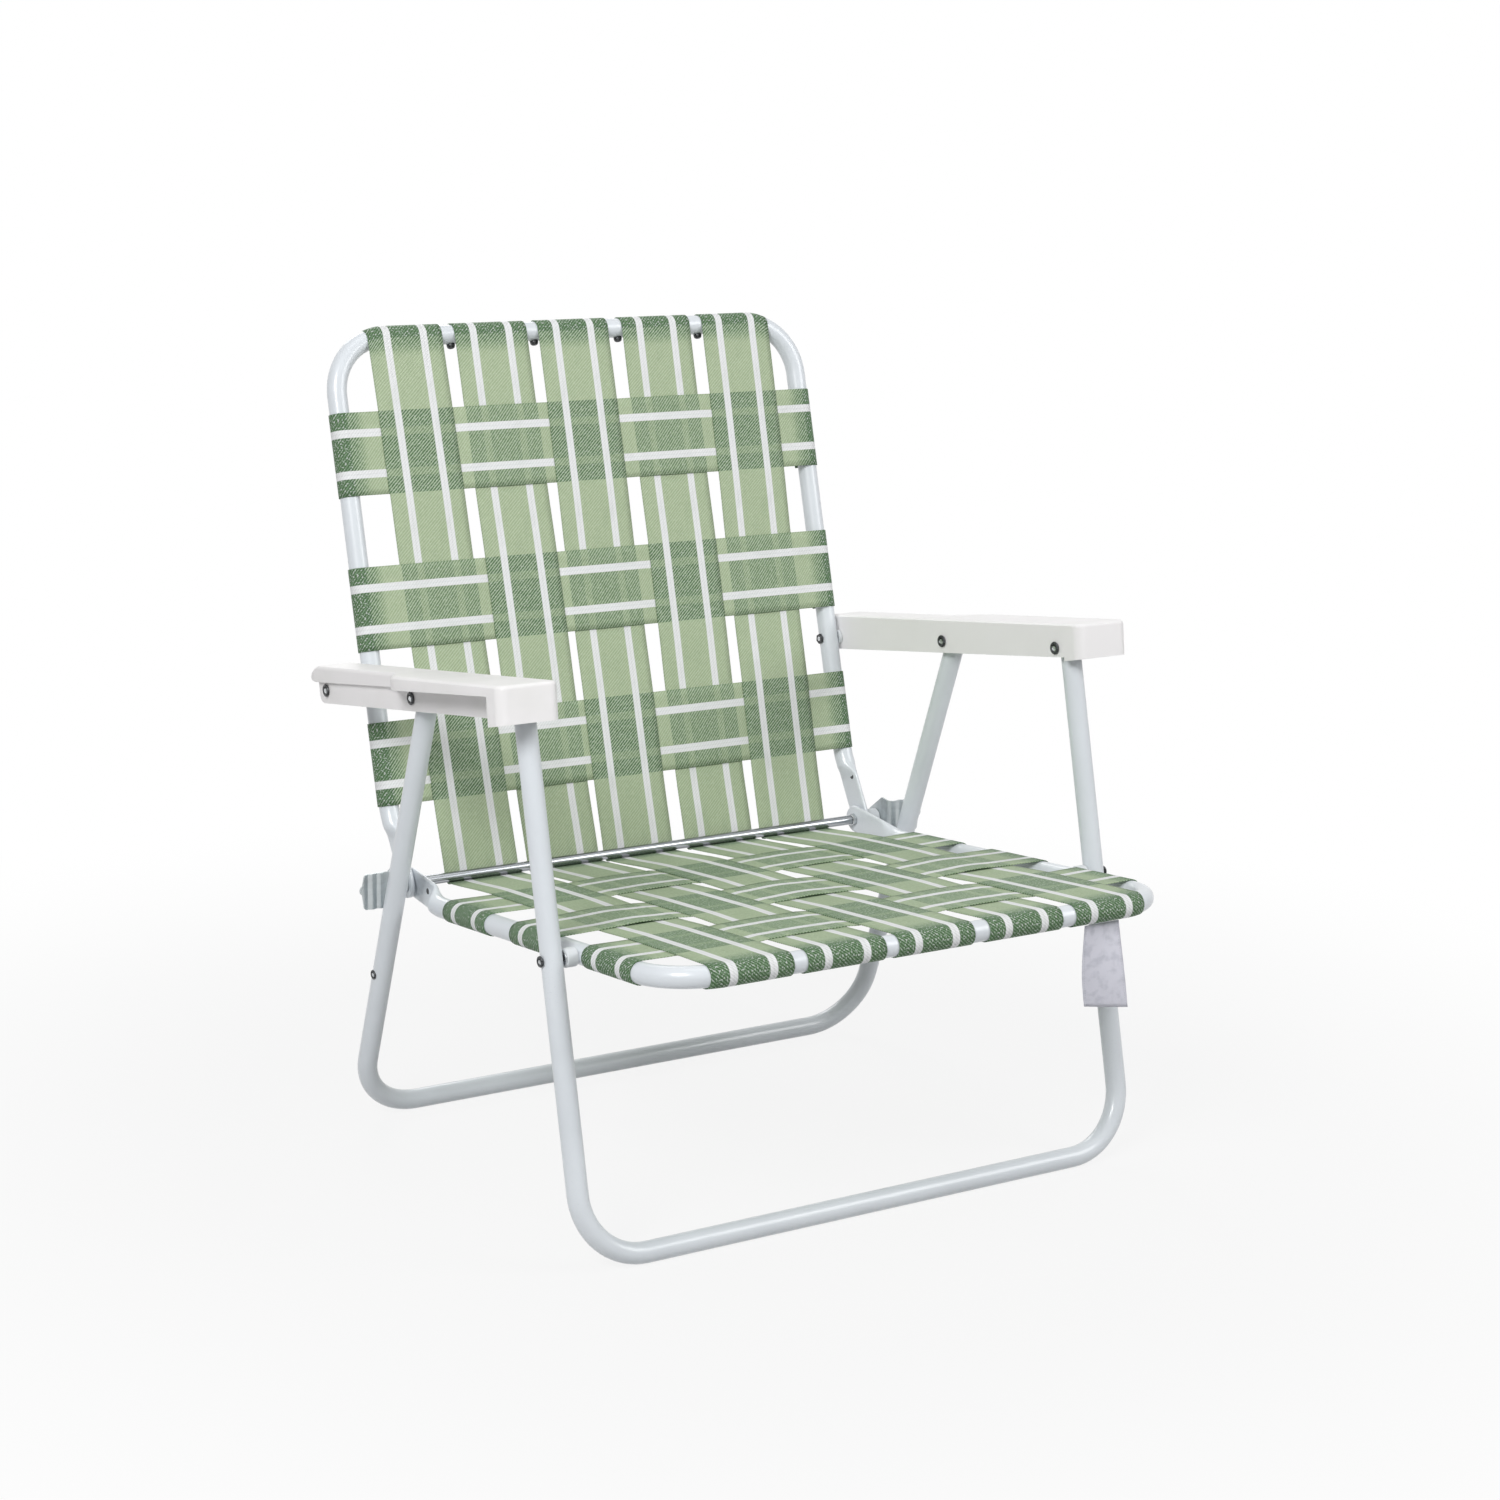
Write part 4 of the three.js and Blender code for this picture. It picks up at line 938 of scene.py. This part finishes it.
class LAWNCHAIR_OT_webbing(bpy.types.Operator):
    """Weave the straps of the seat and the back"""
    bl_idname = "lawnchair.webbing"
    bl_label = "Webbing"

    def execute(self, context):
        sizes = context.scene.lawnchair_sizes
        inner = ROD_RADIUS + STRAP_GAP + sizes.ply / 2
        web_frame(sizes, "seat", inner)
        web_frame(sizes, "back", inner + sizes.ply + STRAP_GAP)
        return {"FINISHED"}


class LAWNCHAIR_OT_armrests(bpy.types.Operator):
    """Mould the armrests"""
    bl_idname = "lawnchair.armrests"
    bl_label = "Armrests"

    def execute(self, context):
        for side in SIDES:
            node = f"armrest_{side}"
            shell = solid_copy(node)
            round_edges(shell, context.scene.lawnchair_sizes.edge)
            draw_out_nose(shell)
            piece = put(f"armrest_shell_{side}", shell, node, "armrest_plastic", node)
            piece.modifiers.new("even shade", "WEIGHTED_NORMAL").keep_sharp = True
        return {"FINISHED"}


class LAWNCHAIR_OT_arm_fasteners(bpy.types.Operator):
    """Turn the pins, bolts, nuts and spacers of the armrests"""
    bl_idname = "lawnchair.arm_fasteners"
    bl_label = "Armrest fasteners"

    def execute(self, context):
        for side, sign in SIDES.items():
            body = f"armrest_{side}"
            lit_dishes = []
            for end in ("front", "rear"):
                node = f"arm_{end}_pin_{side}"
                place, length = outward(node, sign)
                pin = turned(riveted(rolled_rim(0, 1, HEAD_RADIUS), length, HEAD_RADIUS), place)
                put(f"arm_{end}_rivet_{side}", pin, body, "dark_steel", node)
                lit_dishes += [lit_dish(place, 0, 1, HEAD_RADIUS), lit_dish(place, length, -1, HEAD_RADIUS)]
            node = f"arm_back_nut_{side}"
            place, length = outward(node, sign)
            thin = place @ Matrix.Translation((0, 0, length - THIN_NUT))
            nut = hexagon(thin, ARM_NUT_FLATS, THIN_NUT)
            put(f"arm_back_hexagon_{side}", nut, body, "dark_steel", node)
            # A bright zinc dome in the nut: painted light, as in the rivet heads.
            domed = [(-0.0008, 0), (-0.0006, 0.0014), (0, 0.0024), (0.0006, 0.0024), (0.0006, 0)]
            lit_dishes.append(turned(domed, thin, SMALL_SIDES))
            node = f"arm_back_bolt_{side}"
            place, length = outward(node, sign)
            start = [(length - BACK_GRIP, 0), (length - BACK_GRIP, SHANK_RADIUS)]
            bolt = turned(riveted(start, length, HEAD_RADIUS), place)
            put(f"arm_back_screw_{side}", bolt, body, "dark_steel", node)
            lit_dishes.append(lit_dish(place, length, -1, HEAD_RADIUS))
            put(f"arm_lit_dishes_{side}", added(lit_dishes), body, "zinc")
            node = f"arm_back_spacer_{side}"
            put_ring(f"arm_back_collar_{side}", node, sign, body, "nylon", COLLAR_RADIUS, 0.0005)
        return {"FINISHED"}


class LAWNCHAIR_OT_seat_links(bpy.types.Operator):
    """Turn the bolts, washers and bushes that carry the seat"""
    bl_idname = "lawnchair.seat_links"
    bl_label = "Seat links"

    def execute(self, context):
        body = "front_legs"
        for side, sign in SIDES.items():
            node = f"seat_link_bolt_{side}"
            place, length = outward(node, sign)
            start = [(0, 0), (0, 0.0024), (0.0006, SHANK_RADIUS)]
            bolt = turned(riveted(start, length, LINK_HEAD_RADIUS), place)
            put(f"seat_link_screw_{side}", bolt, body, "dark_steel", node)
            put(f"seat_link_dish_{side}", lit_dish(place, length, -1, LINK_HEAD_RADIUS), body, "zinc")
            node = f"seat_link_washer_{side}"
            put_ring(f"seat_link_ring_{side}", node, sign, body, "zinc", COLLAR_RADIUS, 0.0002)
            node = f"seat_link_bush_{side}"
            put_ring(f"seat_link_collar_{side}", node, sign, body, "nylon", BUSH_RADIUS, 0.0009)
        return {"FINISHED"}


class LAWNCHAIR_OT_hinge(bpy.types.Operator):
    """Turn the hinge rod with its nuts, washers and spacers"""
    bl_idname = "lawnchair.hinge"
    bl_label = "Hinge"

    def execute(self, context):
        low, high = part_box("hinge_rod")
        length = high[0] - low[0]
        head = [(0, 0), (0.0001, 0.0024), (0.0007, 0.0045), (0.0016, ROD_HEAD_RADIUS)]
        end = head + [
            (ROD_HEAD, ROD_HEAD_RADIUS), (ROD_HEAD, SHANK_RADIUS), (ROD_STUD, SHANK_RADIUS),
            (ROD_STUD, 0.0043), (0.0375, ROD_RADIUS)]
        far = [(length - height, radius) for height, radius in reversed(end)]
        start = facing((low[0], HINGE.y, HINGE.z), (1, 0, 0))
        put("hinge_bar", turned(end + far, start), "seat", "drawn_rod", "hinge_rod")
        for side, sign in SIDES.items():
            node = f"hinge_nut_{side}"
            place, thick = outward(node, sign)
            put(f"hinge_hexagon_{side}", hexagon(place, HINGE_NUT_FLATS, thick), "seat", "zinc", node)
            for kind, radius, ease in (("washer", COLLAR_RADIUS, 0.0004), ("spacer", BUSH_RADIUS, 0.0008)):
                node = f"hinge_{kind}_{side}"
                put_ring(f"hinge_{kind}_ring_{side}", node, sign, "seat", "nylon", radius, ease)
        return {"FINISHED"}


class LAWNCHAIR_OT_catches(bpy.types.Operator):
    """Press the catch brackets"""
    bl_idname = "lawnchair.catches"
    bl_label = "Catch brackets"

    def execute(self, context):
        for side in SIDES:
            node = f"catch_bracket_{side}"
            piece = put(f"catch_plate_{side}", solid_copy(node), "seat", "galvanised", node)
            bevel = piece.modifiers.new("eased edges", "BEVEL")
            bevel.width = SHEET_EASE
            bevel.segments = 2
            bevel.limit_method = "ANGLE"
            bevel.angle_limit = math.radians(SHARP_EDGE)
            bevel.harden_normals = True
        return {"FINISHED"}


class LAWNCHAIR_OT_small_fixings(bpy.types.Operator):
    """Set the strap screws, the rivets of the rear legs and the eyelets of the hinged frames"""
    bl_idname = "lawnchair.small_fixings"
    bl_label = "Small fixings"

    def execute(self, context):
        sizes = context.scene.lawnchair_sizes
        tube = sizes.tube / 2
        for kind, part in HINGED.items():
            put(f"{kind}_strap_screws", added(self.strap_screws(sizes, part)), kind, "dark_steel")
        back = HINGED["back"].place
        down = back.to_3x3() @ Vector((0, 1, 0))
        spots = [back @ Vector((x - sizes.webbing / 2 - TOP_SCREW_GAP, tube, 0)) for x in COLUMNS_AT_BAR]
        screws = [screw(spot, down, TOP_SCREW_RADIUS, TOP_SCREW_HEIGHT) for spot in spots]
        put("top_bar_screws", added(screws), "back", "dark_steel")
        for kind, part in HINGED.items():
            face_x = part.plate_x + part.face * sizes.plate / 2
            rims, bore_shades = zip(*(
                eyelet(part.place @ Vector((sign * face_x, *part.eyelet)), (part.face * sign, 0, 0))
                for sign in SIDES.values()))
            put(f"{kind}_plate_rims", added(rims), kind, "powder_coat")
            # Dark plugs in the eyelets: painted shade of their holes.
            put(f"{kind}_plate_bore_shades", added(bore_shades), kind, "dark_steel")
        rims, lit_dishes = [], []
        for sign in SIDES.values():
            place = facing(REAR_LEGS @ Vector((sign * (LEG_X + tube), 0, RIVET_AT)), (sign, 0, 0))
            rims.append(turned(riveted([(-RIVET_SUNK, 0)], RIVET_PROUD, RIVET_RADIUS), place))
            lit_dishes.append(lit_dish(place, RIVET_PROUD, -1, RIVET_RADIUS))
        put("rear_leg_rivets", added(rims), "rear_legs", "dark_steel")
        put("rear_leg_lit_dishes", added(lit_dishes), "rear_legs", "zinc")
        return {"FINISHED"}

    def strap_screws(self, sizes, part):
        """Two screws through each strap's tail, under the end bar and the side tubes."""
        under = part.place.to_3x3() @ Vector((0, 0, -part.face))
        proud = -part.face * (sizes.tube / 2 + STRAP_GAP + sizes.ply)
        spots = [(x + off, SCREW_INSET, proud) for x in COLUMNS_AT_BAR for off in SCREW_OFFSETS]
        spots += [
            (side * (part.half - SCREW_INSET), y + off, proud)
            for y in part.rows for off in SCREW_OFFSETS for side in (-1, 1)]
        return [screw(part.place @ Vector(spot), under) for spot in spots]


class LAWNCHAIR_OT_tag(bpy.types.Operator):
    """Hang the bare cloth tag under the seat's front bar"""
    bl_idname = "lawnchair.tag"
    bl_label = "Tag"

    def execute(self, context):
        low, high = (Vector(corner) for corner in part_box("blank_tag"))
        middle = (low.x + high.x) / 2
        width, length = (high.x - low.x) * TAG_SHARE, high.z - low.z + TAG_EXTRA
        bm = bmesh.new()
        across, along = (bm.verts.layers.float.new(key) for key in ("across", "along"))
        bmesh.ops.create_grid(bm, x_segments=14, y_segments=20, size=0.5)
        for vert in bm.verts:
            off, down = vert.co.x * width, 0.5 - vert.co.y
            vert[across], vert[along] = off, down * length
            twist = math.radians(TAG_TURN) * down
            wave = TAG_WAVE * math.sin(TAG_WAVE_DOWN * down + TAG_WAVE_ACROSS * off)
            bow = math.sin(math.pi * down)
            vert.co = (
                middle + off * math.cos(twist) + TAG_SIDE + TAG_DRIFT * down - TAG_BOW_X * bow,
                high.y - TAG_CLEAR - TAG_BOW_Y * bow - off * math.sin(twist) + wave,
                high.z - down * length)
        bmesh.ops.recalc_face_normals(bm, faces=bm.faces)
        piece = put("bare_tag", bm, "seat", "tag_cloth", "blank_tag")
        thicken(piece, TAG_THICK)
        return {"FINISHED"}


class LAWNCHAIR_OT_stage(bpy.types.Operator):
    """Set the floor, the light and the camera"""
    bl_idname = "lawnchair.stage"
    bl_label = "Stage"

    def execute(self, context):
        scene = context.scene
        scene.view_settings.view_transform = "Standard"
        self.lay_floor(scene)
        self.light_world(scene)
        for name, (at, size, power) in LAMPS.items():
            lamp = bpy.data.lights.new(name, "AREA")
            lamp.shape = "DISK"
            lamp.size = size
            lamp.energy = power
            light = bpy.data.objects.new(name, lamp)
            light.matrix_world = facing(at, Vector(at) - LAMPS_AIM)
            scene.collection.objects.link(light)
        self.set_camera(scene)
        return {"FINISHED"}

    def lay_floor(self, scene):
        """A floor that looks white but keeps the chair's shadow."""
        bm = bmesh.new()
        bmesh.ops.create_circle(bm, cap_ends=True, segments=FLOOR_SIDES, radius=FLOOR_RADIUS)
        mesh = bpy.data.meshes.new("floor")
        bm.to_mesh(mesh)
        bm.free()
        floor = bpy.data.objects.new("floor", mesh)
        scene.collection.objects.link(floor)
        finish = Finish(bpy.data.materials.new("floor"))
        colour = scene.lawnchair_colours.floor
        finish.done({"Base Color": colour, "Roughness": 0.9, "Specular IOR Level": 0.0})
        glow = finish.node("Emission", {}, {"Color": WHITE, "Strength": 1.0}, "Emission")
        far = finish.node("VectorMath", {"operation": "LENGTH"}, {"Vector": finish.place()}, "Value")
        share = finish.seen() * finish.ramp(far, *FLOOR_GLOW)
        lit = Thread(finish.nodes["Principled BSDF"].outputs[0])
        mesh.materials.append(finish.overlaid(lit, glow, share, "Material Output"))

    def light_world(self, scene):
        """Soft even light, behind a background that looks white."""
        finish = Finish(bpy.data.worlds.new("studio"))
        soft = finish.nodes["Background"]
        join(soft.inputs["Color"], WHITE)
        join(soft.inputs["Strength"], WORLD_LIGHT)
        white = finish.node("Background", {}, {"Color": WHITE, "Strength": 1.0}, "Background")
        scene.world = finish.overlaid(Thread(soft.outputs[0]), white, finish.seen(), "World Output")

    def set_camera(self, scene):
        """The photograph's view: yaw, pitch and roll about the camera's own place."""
        lens = bpy.data.cameras.new("camera")
        lens.lens = CAMERA_LENS
        lens.sensor_width = CAMERA_SENSOR
        lens.sensor_fit = "HORIZONTAL"
        lens.shift_x, lens.shift_y = CAMERA_SHIFT
        place = Matrix.Translation(CAMERA_AT)
        for angle, axis in ((-CAMERA_YAW, "Z"), (math.pi / 2 - CAMERA_PITCH, "X"), (CAMERA_ROLL, "Z")):
            place = place @ Matrix.Rotation(angle, 4, axis)
        camera = bpy.data.objects.new("camera", lens)
        camera.matrix_world = place
        scene.collection.objects.link(camera)
        scene.camera = camera


MAKERS = (
    LAWNCHAIR_OT_tubes, LAWNCHAIR_OT_armrests, LAWNCHAIR_OT_arm_fasteners, LAWNCHAIR_OT_seat_links,
    LAWNCHAIR_OT_hinge, LAWNCHAIR_OT_catches, LAWNCHAIR_OT_webbing, LAWNCHAIR_OT_small_fixings,
    LAWNCHAIR_OT_tag, LAWNCHAIR_OT_stage)


class LAWNCHAIR_PT_parts(bpy.types.Panel):
    """Sizes, colours and makers of the lawn chair"""
    bl_idname = "LAWNCHAIR_PT_parts"
    bl_label = "Lawn chair"
    bl_space_type = "VIEW_3D"
    bl_region_type = "UI"
    bl_category = "Lawn chair"

    def draw(self, context):
        for group in (context.scene.lawnchair_sizes, context.scene.lawnchair_colours):
            column = self.layout.column(align=True)
            for key in group.__annotations__:
                column.prop(group, key)
        for maker in MAKERS:
            self.layout.operator(maker.bl_idname)


CLASSES = (ChairSizes, ChairColours, *MAKERS, LAWNCHAIR_PT_parts)


def register():
    for item in CLASSES:
        bpy.utils.register_class(item)
    bpy.types.Scene.lawnchair_sizes = PointerProperty(type=ChairSizes)
    bpy.types.Scene.lawnchair_colours = PointerProperty(type=ChairColours)


def unregister():
    del bpy.types.Scene.lawnchair_colours
    del bpy.types.Scene.lawnchair_sizes
    for item in reversed(CLASSES):
        bpy.utils.unregister_class(item)


def main():
    register()
    bpy.ops.lawnchair.tubes()
    bpy.ops.lawnchair.armrests()
    bpy.ops.lawnchair.arm_fasteners()
    bpy.ops.lawnchair.seat_links()
    bpy.ops.lawnchair.hinge()
    bpy.ops.lawnchair.catches()
    bpy.ops.lawnchair.webbing()
    bpy.ops.lawnchair.small_fixings()
    bpy.ops.lawnchair.tag()
    bpy.ops.lawnchair.stage()


if __name__ == "__main__":
    main()
